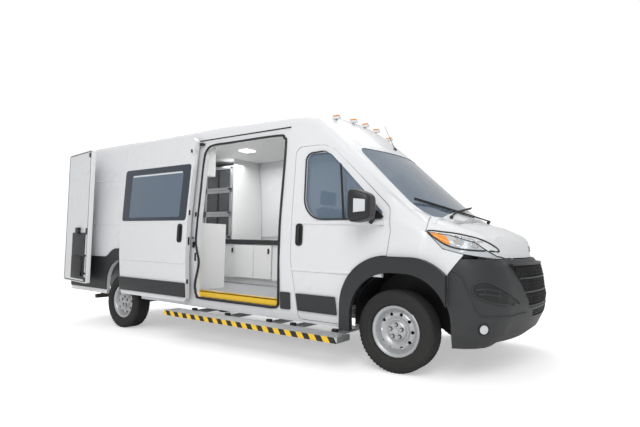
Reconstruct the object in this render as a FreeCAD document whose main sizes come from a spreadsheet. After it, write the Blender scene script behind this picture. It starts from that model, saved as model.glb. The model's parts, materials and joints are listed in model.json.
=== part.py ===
"""Mobile clinic: a long, high-roof panel van fitted out as a walk-in clinic.

Vehicle axes: X forward from the front axle, Y to the left, Z up from the ground.
The body sits nose-down by the rake on its four wheels; two placements carry the
sub-parts into the stored frame, whose origin is on the ground at the middle of the
overall length: BODY for what hangs on the body, GROUND for wheels and axles.
"""

import FreeCAD, Part
import math
import os
import re

V = FreeCAD.Vector

# Driving dimensions, in millimetres and degrees.
DIMENSIONS = {
    # overall
    "wheelbase": 4035, "rake": 1.45,
    "frame_shift": 2215.66, "sill_height": 370,
    "floor_height": 535, "floor_thickness": 45, "wall": 60, "door_gap": 6,
    # wheels and steering
    "track": 1810, "tyre_radius": 354, "tyre_width": 225, "axle_height": 354,
    "rim_radius": 205, "rim_flange_radius": 220, "kingpin": 835,
    # side door
    "aperture_front": -1292, "aperture_length": 1250, "aperture_bottom": 480,
    "aperture_top": 2283, "slide_out": 112, "slide_back": 1330,
    # rear doors
    "rear_opening_bottom": 545, "rear_opening_top": 2340,
    "rear_door_thickness": 55, "rear_hinge_x": -5500, "rear_hinge_y": 925,
    "rear_door_open": 262,
    # side step
    "step_front": -400, "step_rear": -2760, "step_outer": 1288, "step_inner": 1075,
    "step_top": 343, "step_thickness": 50,
    # under the body
    "tank_length": 900, "tank_width": 520,
    "engine_length": 520, "engine_width": 760, "engine_height": 560,
    "rail_width": 90, "rail_height": 110, "rail_spacing": 900,
    # clinic fittings
    "bench_front": 200, "bench_height": 630, "bench_top_thickness": 65,
    "bench_left": -4660, "bench_right": -2000,
    "rack_length": 1180, "rack_columns": 2, "rack_rows": 3,
    "counter_height": 825, "overhead_bottom": 1963,
}
D = dict(DIMENSIONS)

# Cross-sections of the body shell, from the tail to the nose. Each row holds x, the half
# widths at the sill, middle, belt, shoulder start and shoulder end, and their heights
# from the middle up, then the height of the roof's crown on the centre plane.
SECTIONS = [
    (-5398, 985, 1024, 1012, 925, 812, 950, 1400, 2380, 2512, 2556),
    (-3300, 985, 1024, 1012, 925, 812, 950, 1400, 2380, 2512, 2560),
    (-1300, 985, 1024, 1012, 925, 812, 950, 1400, 2380, 2512, 2560),
    (-1080, 985, 1024, 1010, 922, 808, 950, 1398, 2370, 2505, 2556),
    (-920, 985, 1023, 1007, 914, 800, 948, 1394, 2318, 2455, 2526),
    (-740, 985, 1021, 1002, 898, 784, 945, 1390, 2170, 2292, 2400),
    (-550, 985, 1018, 996, 884, 765, 940, 1385, 1985, 2110, 2247),
    (-376, 985, 1015, 989, 882, 772, 935, 1380, 1840, 1955, 2105),
    (-170, 985, 1011, 980, 885, 796, 930, 1370, 1655, 1760, 1914),
    (60, 985, 1006, 968, 893, 830, 920, 1340, 1462, 1545, 1703),
    (235, 985, 1002, 962, 905, 820, 900, 1265, 1345, 1405, 1542),
    (345, 985, 1001, 958, 900, 600, 895, 1250, 1325, 1388, 1455),
    (455, 985, 1000, 952, 890, 220, 890, 1232, 1300, 1372, 1377),
]


def make_sheet(doc):
    """Puts every driving dimension in one cell of the spreadsheet, with its alias."""
    sheet = doc.addObject("Spreadsheet::Sheet", "dims")
    for row, (alias, value) in enumerate(DIMENSIONS.items(), start=1):
        sheet.set(f"A{row}", alias)
        sheet.set(f"B{row}", str(value))
        sheet.setAlias(f"B{row}", alias)
    doc.recompute()
    for alias in DIMENSIONS:
        D[alias] = float(sheet.get(alias))
    return sheet


def bind(thing, **expressions):
    """Binds properties to expressions of the sheet's aliases."""
    for prop, text in expressions.items():
        formula = re.sub(r"[a-z][a-z_]+", lambda m: "dims." + m.group(0), str(text))
        thing.setExpression(prop.replace("__", "."), formula)
    return thing


class Model:
    """The document, its helpers for common shapes, and the list of finished sub-parts."""

    def __init__(self):
        self.doc = FreeCAD.newDocument("mobile_clinic")
        self.sheet = make_sheet(self.doc)
        turn = FreeCAD.Rotation(V(0, 1, 0), D["rake"])
        pivot = V(-D["wheelbase"] / 2, 0, D["axle_height"])
        shift = V(D["frame_shift"], 0, 0)
        self.body_frame = FreeCAD.Placement(shift + pivot - turn.multVec(pivot), turn)
        self.ground_frame = FreeCAD.Placement(shift, FreeCAD.Rotation())
        self.nodes = []

    def box(self, low, size, name="box"):
        """A box from its low corner and its size, each three expressions."""
        made = self.doc.addObject("Part::Box", name)
        return bind(made, Length=size[0], Width=size[1], Height=size[2],
                    Placement__Base__x=low[0], Placement__Base__y=low[1],
                    Placement__Base__z=low[2])

    def rod(self, start, radius, height, axis=(0, 0, 1), name="rod"):
        """A cylinder from the centre of its first end, along an axis."""
        made = self.doc.addObject("Part::Cylinder", name)
        made.Placement = FreeCAD.Placement(V(0, 0, 0), FreeCAD.Rotation(V(0, 0, 1), V(*axis)))
        return bind(made, Radius=radius, Height=height, Placement__Base__x=start[0],
                    Placement__Base__y=start[1], Placement__Base__z=start[2])

    def cut(self, base, *tools):
        """The base with every tool cut away in turn."""
        for tool in tools:
            made = self.doc.addObject("Part::Cut", "cut")
            made.Base, made.Tool = base, tool
            base = made
        return base

    def common(self, base, tool):
        """What two shapes share."""
        made = self.doc.addObject("Part::Common", "common")
        made.Base, made.Tool = base, tool
        return made

    def fuse(self, *shapes):
        """Several shapes joined into one solid."""
        made = self.doc.addObject("Part::MultiFuse", "fuse")
        made.Shapes = list(shapes)
        made.Refine = True
        return made

    def mirror(self, source):
        """The same shape on the other side of the centre plane."""
        made = self.doc.addObject("Part::Mirroring", "mirror")
        made.Source, made.Normal, made.Base = source, V(0, 1, 0), V(0, 0, 0)
        return made

    def shape(self, shape, name="shape"):
        """A free-form shape held by the document."""
        made = self.doc.addObject("Part::Feature", name)
        made.Shape = shape
        return made

    def revolve(self, profile, name="turned"):
        """A closed XY profile, radius in X and width in Y, turned about the Y axis."""
        made = self.doc.addObject("Part::Revolution", name)
        made.Source = self.shape(profile, name + "_profile")
        made.Axis, made.Base, made.Angle, made.Solid = V(0, 1, 0), V(0, 0, 0), 360, True
        return made

    def moved(self, source, offset):
        """A copy of a shape, moved by an offset."""
        made = self.doc.addObject("Part::Compound", "moved")
        made.Links = [source]
        made.Placement = FreeCAD.Placement(V(*offset), FreeCAD.Rotation())
        return made

    def node(self, label, frame, *pieces):
        """A finished sub-part: its pieces, under its label, placed in the stored frame."""
        made = self.doc.addObject("Part::Compound", "node_" + label)
        made.Label = label
        made.Links = list(pieces)
        made.Placement = frame
        self.nodes.append(made)
        return made

    def export(self, folder="parts"):
        """Checks every object and writes one STEP file for each sub-part."""
        self.doc.recompute()
        failed = [o.Name for o in self.doc.Objects if {"Invalid", "Error"} & set(o.State)]
        if failed:
            raise RuntimeError(f"these objects failed: {failed}")
        os.makedirs(folder, exist_ok=True)
        whole = FreeCAD.BoundBox()
        for made in self.nodes:
            shape = made.Shape
            if shape.isNull() or not shape.isValid() or not shape.Solids:
                raise RuntimeError(f"{made.Label} has no valid solid")
            whole.add(shape.optimalBoundingBox(True, False))
            solids = shape.Solids
            single = solids[0] if len(solids) == 1 else Part.makeCompound(solids)
            single.exportStep(os.path.join(folder, made.Label + ".step"))
            print(f"{made.Label:24s} solids {len(solids):3d}  litres {shape.Volume / 1e6:9.2f}")
        print("box", whole)


# ---------------------------------------------------------------- outlines and sections

def rounded(points, lift):
    """A closed wire through corners (a, b, radius); lift turns (a, b) into a point."""
    edges = []
    count = len(points)
    starts, ends = [], []
    for i, (a, b, radius) in enumerate(points):
        here = V(a, b, 0)
        back = V(*points[i - 1][:2], 0) - here
        ahead = V(*points[(i + 1) % count][:2], 0) - here
        if radius <= 0:
            starts.append(here)
            ends.append(here)
            edges.append(None)
            continue
        half = back.getAngle(ahead) / 2
        reach = radius / math.tan(half)
        back.normalize()
        ahead.normalize()
        first, last = here + back * reach, here + ahead * reach
        bisector = (back + ahead).normalize()
        middle = here + bisector * (radius / math.sin(half) - radius)
        starts.append(first)
        ends.append(last)
        edges.append((first, middle, last))
    wire = []
    for i in range(count):
        if edges[i]:
            wire.append(Part.Arc(*[lift(p.x, p.y) for p in edges[i]]).toShape())
        leave, reach = ends[i], starts[(i + 1) % count]
        if (leave - reach).Length > 1e-6:
            wire.append(Part.LineSegment(lift(leave.x, leave.y), lift(reach.x, reach.y)).toShape())
    return Part.Wire(wire)


def side_prism(points, y_low, y_high):
    """An outline seen from the side, (x, z, radius) corners, stretched along Y."""
    wire = rounded(points, lambda a, b: V(a, y_low, b))
    return Part.Face(wire).extrude(V(0, y_high - y_low, 0))


def end_prism(points, x_low, x_high):
    """An outline seen from behind, (y, z, radius) corners, stretched along X."""
    wire = rounded(points, lambda a, b: V(x_low, a, b))
    return Part.Face(wire).extrude(V(x_high - x_low, 0, 0))


def plan_prism(points, z_low, z_high):
    """An outline seen from above, (x, y, radius) corners, stretched along Z."""
    wire = rounded(points, lambda a, b: V(a, b, z_low))
    return Part.Face(wire).extrude(V(0, 0, z_high - z_low))


def block(x0, x1, y0, y1, z0, z1):
    """A plain box between limits."""
    return Part.makeBox(x1 - x0, y1 - y0, z1 - z0, V(x0, y0, z0))


def section_wire(row, inset):
    """One closed cross-section of the body, moved inwards by inset."""
    x, w_sill, w_mid, w_belt, w_edge, w_top, z_mid, z_belt, z_edge, z_top, z_crown = row
    z_sill = D["sill_height"] - (300 if inset > 0 else 0)
    sill, mid = (w_sill - inset, z_sill), (w_mid - inset, z_mid)
    belt, edge = (w_belt - inset, z_belt), (w_edge - inset, z_edge - inset * 0.5)
    top, crown = (w_top - inset * 0.5, z_top - inset), z_crown - inset
    bend = ((edge[0] * 0.60 + top[0] * 0.40) + 12, (edge[1] * 0.40 + top[1] * 0.60) + 12)

    half = [sill, mid, belt]
    half += arc_points(edge, bend, top, 5)
    half += [(top[0] * part, crown - (crown - top[1]) * part * part) for part in (0.75, 0.5, 0.25)]
    points = [V(x, -y, z) for y, z in half] + [V(x, 0, crown)] + [V(x, y, z) for y, z in half[::-1]]
    return Part.makePolygon(points + points[:1])


def arc_points(first, middle, last, count):
    """Points along the arc through three (a, b) points, both ends included."""
    arc = Part.Arc(V(*first, 0), V(*middle, 0), V(*last, 0)).toShape()
    return [(p.x, p.y) for p in arc.discretize(Number=count)]


def body_loft(inset):
    """The body from the tail to the scuttle, moved inwards by inset."""
    rows = [list(row) for row in SECTIONS]
    if inset > 0:
        rows[0][0] -= 40
        rows[-1][0] += 40
    return Part.makeLoft([section_wire(row, inset) for row in rows], True, True)


NOSE_SECTIONS = [
    (-140, 985, 1011, 979, 885, 790, 930, 1370, 1655, 1760, 1900),
    (60, 985, 1006, 968, 893, 830, 920, 1340, 1462, 1545, 1700),
    (235, 985, 1002, 962, 905, 820, 900, 1265, 1345, 1405, 1542),
    (256, 985, 1002, 958, 905, 800, 900, 1258, 1337, 1390, 1432),
    (345, 985, 1001, 950, 905, 770, 895, 1225, 1300, 1364, 1400),
    (430, 985, 1000, 946, 902, 755, 890, 1190, 1262, 1336, 1381),
    (620, 985, 1000, 937, 888, 722, 885, 1118, 1190, 1273, 1338),
    (760, 985, 1000, 925, 868, 690, 870, 1040, 1100, 1202, 1275),
    (860, 985, 1000, 912, 850, 662, 850, 965, 1010, 1112, 1192),
    (1060, 985, 1000, 900, 830, 640, 800, 850, 880, 940, 1000),
]


def plan_wire(z, front, corner_front, corner_y, width, corner_back, rear):
    """A closed outline of the nose at one height: bowed front, round corners."""
    mid_x = corner_back + (corner_front - corner_back) * 0.74
    mid_y = corner_y + (width - corner_y) * 0.70

    corner = arc_points((corner_back, width), (mid_x, mid_y), (corner_front, corner_y), 7)
    bow = arc_points((corner_front, corner_y), (front, 0), (corner_front, -corner_y), 9)
    half = [(rear, width)] + corner + bow[1:-1]
    points = [V(a, b, z) for a, b in half]
    points += [V(a, -b, z) for a, b in ([(rear, width)] + corner)[::-1]]
    return Part.makePolygon(points + points[:1])


def nose_solid(inset):
    """The hood and wing volume: sections along X met by outlines along Z."""
    along = Part.makeLoft([section_wire(row, inset) for row in NOSE_SECTIONS], True, True)
    heights = [(300, 880), (1050, 858), (1180, 838), (1300, 795), (1800, 600)]
    upright = Part.makeLoft([
        plan_wire(z, front - inset, front - 75 - inset, 560, 1020 - inset, 330, -200)
        for z, front in heights], True, True)
    return along.common(upright)


def bumper_solid(inset):
    """The bumper volume: bowed outlines stacked from the chin to the lip."""
    rows = [(330, 812, 985), (430, 930, 992), (560, 990, 998), (700, 1013, 1000),
            (860, 985, 999), (985, 945, 992), (1046, 900, 986)]
    if inset > 0:
        rows[0] = (280, 840, 980)
        rows[-1] = (1080, 880, 980)
    return Part.makeLoft([
        plan_wire(z, front - inset, front - 95 - inset, 600, width - inset, 400, 300)
        for z, front, width in rows], True, True)


# ---------------------------------------------------------------- shared outlines

def grown(points, amount, centre):
    """The same outline with each corner pushed out from a centre by amount on both axes."""
    return [(a + math.copysign(amount, a - centre[0]), b + math.copysign(amount, b - centre[1]),
             radius) for a, b, radius in points]


DOOR_OUTLINE = [(-1045, 402, 60), (-1138, 1000, 900), (-1148, 2122, 80), (-760, 2126, 260),
                (-92, 1480, 120), (-62, 1270, 120), (-108, 900, 60), (-108, 402, 0)]
FRONT_WINDOW = [(-985, 1385, 220), (-1010, 2040, 70), (-760, 2050, 120), (-95, 1385, 40)]
FLARE_OUTLINE = [(-540, 360, 0), (-540, 1048, 460), (590, 1048, 460), (590, 360, 0)]
FRONT_ARCH = [(-430, 200, 0), (-430, 907, 400), (490, 907, 400), (490, 200, 0)]
REAR_ARCH = [(-4440, 150, 0), (-4440, 862, 380), (-3630, 862, 380), (-3630, 150, 0)]


def aperture_outline(gap=0):
    """The side door's opening, grown by a gap."""
    front, low, high = D["aperture_front"], D["aperture_bottom"], D["aperture_top"]
    rear = front - D["aperture_length"]
    return [(rear - gap, low - gap, 70), (rear - gap, high + gap, 110),
            (front + gap, high + gap, 110), (front + gap, low - gap, 70)]


def door_aperture():
    """The cab door's opening: the door's outline with the running gap all round."""
    return grown(DOOR_OUTLINE, D["door_gap"], (-600, 1200))


# ---------------------------------------------------------------- body shell

def build_shell(model):
    """The welded shell, split where its panels meet, and the doors cut from the same skin."""
    body, wall, gap = model.body_frame, D["wall"], D["door_gap"]
    outer, inner = body_loft(0), body_loft(wall)
    shell = outer.cut(inner)
    arches = [side_prism(FRONT_ARCH, -1200, 1200), side_prism(REAR_ARCH, -1200, 1200)]
    shell = shell.cut(arches[0]).cut(arches[1])
    cab = block(-1170, 400, -1200, 1200, 0, 3000)
    roof_line = block(-5300, -1170, -1200, 1200, 2400, 3000)
    load = block(-5300, -1170, -1200, 1200, 0, 2400)

    opening = [(-781, D["rear_opening_bottom"], 60), (-781, D["rear_opening_top"], 90),
               (781, D["rear_opening_top"], 90), (781, D["rear_opening_bottom"], 60)]
    rear = outer.common(block(-5398, -5300, -1200, 1200, 0, 3000))
    rear = rear.cut(block(-5345, -5290, -925, 925, 535, 2440))
    rear = rear.cut(end_prism(opening, -5500, -5200))
    leaf_seat = [(-856, 505, 60), (-856, 2395, 90), (856, 2395, 90), (856, 505, 60)]
    rear = rear.cut(end_prism(leaf_seat, -5500, -5339))
    model.node("rear_frame", body, model.shape(rear, "rear_frame_shape"))
    model.node("roof_panel", body, model.shape(shell.common(roof_line), "roof_shape"))

    sides = shell.common(load)
    left = sides.common(block(-5400, 0, 0, 1200, 0, 3000))
    model.node("left_side_panel", body, model.shape(left, "left_side_shape"))
    right = sides.common(block(-5400, 0, -1200, 0, 0, 3000))
    right = right.cut(side_prism(aperture_outline(), -1200, 0))
    model.node("right_side_panel", body, model.shape(right, "right_side_shape"))

    cab_shell = shell.common(cab).cut(side_prism(door_aperture(), -1200, 1200))
    screen = plan_screen()
    cab_frame = cab_shell.cut(screen)
    cab_frame = cab_frame.cut(block(-112, 500, -1200, 1200, 0, 1290))
    for side in (-1, 1):
        for rear, low, high in ((314, 684, 884), (254, 884, 1200)):
            y_low, y_high = sorted((side * low, side * high))
            cab_frame = cab_frame.cut(block(rear, 600, y_low, y_high, 1000, 1500))
    cheek = side_prism([(-56, 1200, 0), (-56, 1306, 0), (118, 1468, 0), (240, 1410, 0),
                        (262, 1396, 0), (262, 1200, 0)], -1200, 1200)
    cab_frame = Part.makeCompound([s for s in cab_frame.cut(cheek).Solids if s.Volume > 3e5])
    model.node("cab_frame", body, model.shape(cab_frame, "cab_frame_shape"))
    glass = body_loft(6).cut(body_loft(12)).common(screen)
    glass = max(glass.Solids, key=lambda s: s.Volume)
    model.node("windscreen", body, model.shape(glass, "windscreen_shape"))

    door_skin = outer.cut(inner)
    leaf = door_skin.common(side_prism(DOOR_OUTLINE, -1200, 1200))
    leaf = leaf.cut(side_prism(grown(FLARE_OUTLINE, gap, (25, 300)), -1200, 1200))
    window = side_prism(FRONT_WINDOW, -1200, 1200)
    leaf = leaf.cut(window)
    pane = body_loft(10).cut(body_loft(16)).common(window)
    for side, name in ((-1, "right"), (1, "left")):
        half = block(-1300, 100, min(0, side * 1200), max(0, side * 1200), 0, 3000)
        panel = max(leaf.common(half).Solids, key=lambda s: s.Volume)
        model.node(f"front_{name}_door", body, model.shape(panel, "front_door_shape"))
        model.node(f"front_{name}_window", body, model.shape(pane.common(half), "pane_shape"))

    build_sliding_door(model, outer, inner)
    build_rear_doors(model)
    return cab_frame


def plan_screen():
    """The windscreen's opening as a wedge that follows its top, sides and base."""
    corners = [(-760, 2108, 120), (760, 2108, 120), (872, 1395, 130), (-872, 1395, 130)]
    seen = end_prism(corners, -620, 300)
    behind = side_prism([(-700, 2200, 0), (-330, 2200, 0), (460, 1400, 0), (460, 1340, 0),
                         (80, 1400, 0), (-700, 2060, 0)], -1200, 1200)
    return seen.common(behind)


def build_sliding_door(model, outer, inner):
    """The side door, run back on its rails and standing off the body side."""
    rear = D["aperture_front"] - D["aperture_length"]
    outline = [(rear - 60, 428, 60), (rear - 110, 2385, 90), (D["aperture_front"] + 15, 2385, 90),
               (D["aperture_front"] + 15, 428, 60)]
    leaf = outer.cut(inner).common(side_prism(outline, -1200, 0))
    window = side_prism([(rear - 50, 1378, 40), (rear - 90, 2056, 40),
                         (D["aperture_front"] - 15, 2056, 40), (D["aperture_front"] - 15, 1378, 40)],
                        -1200, 0)
    pane = body_loft(-2).cut(body_loft(4)).common(window)
    window_hole = side_prism([(rear + 90, 1420, 60), (rear + 60, 1985, 60),
                              (D["aperture_front"] - 140, 1985, 60),
                              (D["aperture_front"] - 140, 1420, 60)], -1200, 0)
    seat = body_loft(-10).cut(body_loft(4)).common(window)
    leaf = leaf.cut(window_hole).cut(seat)
    offset = (-D["slide_back"], -D["slide_out"], 0)
    body = model.body_frame
    model.node("sliding_door", body, model.moved(model.shape(leaf, "slide_shape"), offset))
    model.node("sliding_door_window", body, model.moved(model.shape(pane, "slide_pane"), offset))


def build_rear_doors(model):
    """Two rear leaves. The right one stands open, swung round beside the body."""
    front_face = -5345
    back_face = front_face - D["rear_door_thickness"]
    leaf = end_prism([(3, 511, 20), (3, 2389, 20), (850, 2389, 90), (850, 511, 60)],
                     back_face, front_face)
    leaf = leaf.cut(plan_prism([(front_face - 45, 0, 0), (front_face + 1, 22, 0),
                                (front_face + 1, 0, 0)], 400, 2500))
    left = model.shape(leaf, "rear_leaf")
    model.node("rear_left_door", model.body_frame, left)
    closed = model.mirror(left)
    hinge = V(D["rear_hinge_x"], -D["rear_hinge_y"], 0)
    swing = FreeCAD.Placement(V(0, 0, 0), FreeCAD.Rotation(V(0, 0, 1), D["rear_door_open"]), hinge)
    opened = model.doc.addObject("Part::Compound", "opened")
    opened.Links = [closed]
    opened.Placement = swing
    model.node("rear_right_door", model.body_frame, opened)


# ---------------------------------------------------------------- front end

def build_front(model, cab_frame):
    """Hood, wings, bumper and headlamps, all cut from the nose volume clear of the cab frame."""
    body = model.body_frame
    shell = nose_solid(0).cut(nose_solid(38))
    scuttle = body_loft(-6).common(block(-1100, 600, -691, 691, 1284, 3000))
    shell = shell.cut(scuttle)
    arch = side_prism(FRONT_ARCH, -1200, 1200)
    hood_zone = side_prism([(260, 1500, 0), (260, 1270, 0), (450, 1243, 0), (650, 1186, 0),
                            (792, 1056, 0), (1100, 1050, 0), (1100, 1500, 0)], -1200, 1200)
    lamp_zone = side_prism([(272, 1262, 0), (450, 1234, 0), (648, 1177, 0), (785, 1050, 0),
                            (580, 1088, 40), (410, 1128, 60)], -1200, 1200)
    bumper_edge = [(462, 200, 0), (462, 915, 0), (585, 1078, 0), (800, 1046, 0), (1200, 1046, 0),
                   (1200, 200, 0)]
    hood = shell.common(hood_zone).cut(block(200, 320, -890, 890, 1000, 1500))
    hood = max(hood.Solids, key=lambda s: s.Volume)
    model.node("hood", body, model.shape(hood, "hood_shape"))

    lamps = shell.common(lamp_zone)
    model.node("headlights", body, model.shape(lamps, "lamp_shape"))

    wing_zone = side_prism([(-100, 372, 0), (-100, 1284, 0), (249, 1284, 0), (249, 1268, 0),
                            (264, 1260, 0), (405, 1122, 0), (575, 1083, 0), (458, 918, 0),
                            (458, 372, 0)], -1200, 1200)
    screen_side = block(-200, 600, -780, 780, 1000, 1600)
    wings = shell.common(wing_zone).cut(arch).cut(screen_side)
    wings = wings.cut(block(-200, 700, -930, 930, 0, 1180))
    cheek = side_prism([(-100, 1284, 0), (-56, 1308, 0), (117, 1466, 0), (240, 1408, 0),
                        (254, 1396, 0), (254, 1284, 0)], -1200, 1200)
    cheek = body_loft(0).cut(body_loft(D["wall"])).common(cheek).cut(plan_screen())
    cheek = Part.makeCompound([s for s in cheek.Solids if s.Volume > 3e4])
    wings = wings.fuse(cheek).cut(side_prism(door_aperture(), -1200, 1200)).cut(cab_frame)
    wings = Part.makeCompound(sorted(wings.Solids, key=lambda s: -s.Volume)[:2])
    model.node("front_fenders", body, model.shape(wings, "fender_shape"))

    shell = bumper_solid(0).cut(bumper_solid(45)).common(side_prism(bumper_edge, -1200, 1200))
    shell = shell.cut(arch).cut(block(300, 470, -930, 930, 0, 1200))
    grille = end_prism([(-400, 640, 20), (-590, 1012, 20), (590, 1012, 20), (400, 640, 20)],
                       650, 1100)
    intake = end_prism([(-300, 560, 10), (-315, 620, 10), (315, 620, 10), (300, 560, 10)],
                       700, 1100)
    shell = shell.cut(grille).cut(intake)
    shell = max(shell.Solids, key=lambda s: s.Volume)
    model.node("front_bumper", body, model.shape(shell, "bumper_shape"))
    back = bumper_solid(60).cut(bumper_solid(75))
    mesh = back.common(end_prism([(-380, 540, 10), (-605, 1022, 10), (605, 1022, 10),
                                  (380, 540, 10)], 640, 1100))
    model.node("grille", body, model.shape(mesh, "grille_shape"))


# ---------------------------------------------------------------- floor and underbody

def build_floor(model):
    """Load floor, cab floor and firewall in one pan, with wheel boxes and long rails."""
    body = model.body_frame
    floor = block(-5298, -500, -920, 920, D["floor_height"] - D["floor_thickness"], D["floor_height"])
    cab_floor = block(-500, 200, -540, 540, 490, 535)
    firewall = block(160, 200, -540, 540, 490, 1180)
    hollow = block(-4440, -3630, -1200, 1200, 0, 905)
    left_box = block(-4470, -3600, 711, 920, 490, 905)
    right_box = block(-4470, -3600, -920, -711, 490, 905)
    left_hole = block(-4440, -3630, 741, 1200, 0, 875)
    right_hole = block(-4440, -3630, -1200, -741, 0, 875)
    pan = floor.fuse([cab_floor, firewall, left_box, right_box])
    for side in (-1, 1):
        centre = side * D["rail_spacing"] / 2
        half = D["rail_width"] / 2
        rail = block(-5250, -520, centre - half, centre + half, 380, 490)
        pan = pan.fuse(rail)
    pan = pan.cut(left_hole).cut(right_hole).removeSplitter()
    model.node("floor_pan", body, model.shape(pan, "floor_shape"))
    tank = model.box(("-1500 - tank_length", "-380", "245"), ("tank_length", "tank_width", "130"))
    model.node("fuel_tank", body, tank)
    engine = model.box(("160 + 60", "-engine_width / 2", "440"),
                       ("engine_length", "engine_width", "engine_height"))
    model.node("engine", body, engine)


def build_trim(model):
    """Arch flares, side mouldings, tail lamps, the side step, exhaust and tow bar."""
    body = model.body_frame
    flare = side_prism(FLARE_OUTLINE, 930, 1046).cut(side_prism(FRONT_ARCH, 900, 1200))
    nose = bumper_solid(-3).fuse(nose_solid(-3)).fuse(body_loft(-2))
    flare = flare.cut(nose).cut(block(460, 700, 0, 1200, 0, 2000))
    flare = model.shape(max(flare.Solids, key=lambda s: s.Volume), "flare_shape")
    model.node("arch_flares", body, flare, model.mirror(flare))

    liner = side_prism(grown(FRONT_ARCH, 6, (30, 300)), 545, 922)
    liner = liner.cut(side_prism(FRONT_ARCH, 551, 1200)).cut(block(-600, 700, 0, 1200, 0, 400))
    liner = liner.cut(block(-60, 60, 0, 600, 0, 560))
    liner = model.shape(max(liner.Solids, key=lambda s: s.Volume), "liner_shape")
    model.node("wheel_liners", body, liner, model.mirror(liner))

    cladding = [(-5392, 428, 0), (-5392, 890, 30), (-4420, 890, 150), (-4250, 1010, 250),
                (-3830, 1010, 250), (-3600, 700, 60), (-3560, 428, 0)]
    reach = side_prism(cladding, 980, 1050).cut(side_prism(REAR_ARCH, 900, 1200))
    grown_body = body_loft(-14).cut(body_loft(-2))
    rear_left = model.shape(grown_body.common(reach), "cladding_left")
    strip = side_prism([(-3520, 477, 12), (-3520, 649, 12), (-1180, 649, 12), (-1180, 477, 12)],
                       960, 1060)
    left_strip = model.shape(grown_body.common(strip), "strip_left")
    short = side_prism([(-1270, 477, 12), (-1270, 649, 12), (-1145, 649, 12), (-1145, 477, 12)],
                       960, 1060)
    front = model.shape(grown_body.common(short), "strip_right")
    model.node("side_mouldings", body, rear_left, left_strip, model.mirror(rear_left),
               model.mirror(front))

    lamp = model.box(("-5412", "880", "1120"), ("12", "92", "560"))
    model.node("tail_lights", body, lamp, model.mirror(lamp))

    top = D["step_top"]
    tread = block(D["step_rear"], D["step_front"], -D["step_outer"], -D["step_inner"],
                  top - D["step_thickness"], top)
    for x in (-2520, -1980, -1380, -1070, -580):
        tread = tread.fuse(block(x - 20, x + 20, -D["step_inner"] - 5, -560, top - 45, top - 5))
        tread = tread.fuse(block(x - 20, x + 20, -600, -560, top - 45, 378))
    model.node("side_step", body, model.shape(tread.removeSplitter(), "step_shape"))

    pipe = Part.makeCylinder(32, 2900, V(-3900, 250, 300), V(1, 0, 0))
    box = Part.makeCylinder(95, 620, V(-3100, 250, 300), V(1, 0, 0))
    model.node("exhaust", body, model.shape(pipe.fuse(box).removeSplitter(), "exhaust_shape"))

    bar = model.box(("-5385", "-620", "200"), ("60", "1240", "60"))
    arms = [model.box(("-5385", f"{side} * 495 - 30", "255"), ("60", "60", "114")) for side in (-1, 1)]
    receiver = model.box(("-5410", "-38", "192"), ("110", "76", "76"))
    hole = model.box(("-5411", "-26", "204"), ("90", "52", "52"))
    model.node("tow_hitch", body, model.cut(model.fuse(bar, receiver, *arms), hole))


# ---------------------------------------------------------------- cab and clinic fittings

STEERING = {"centre": (-340, 420, 1125), "axis": (-0.5, 0, 0.866)}


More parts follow.
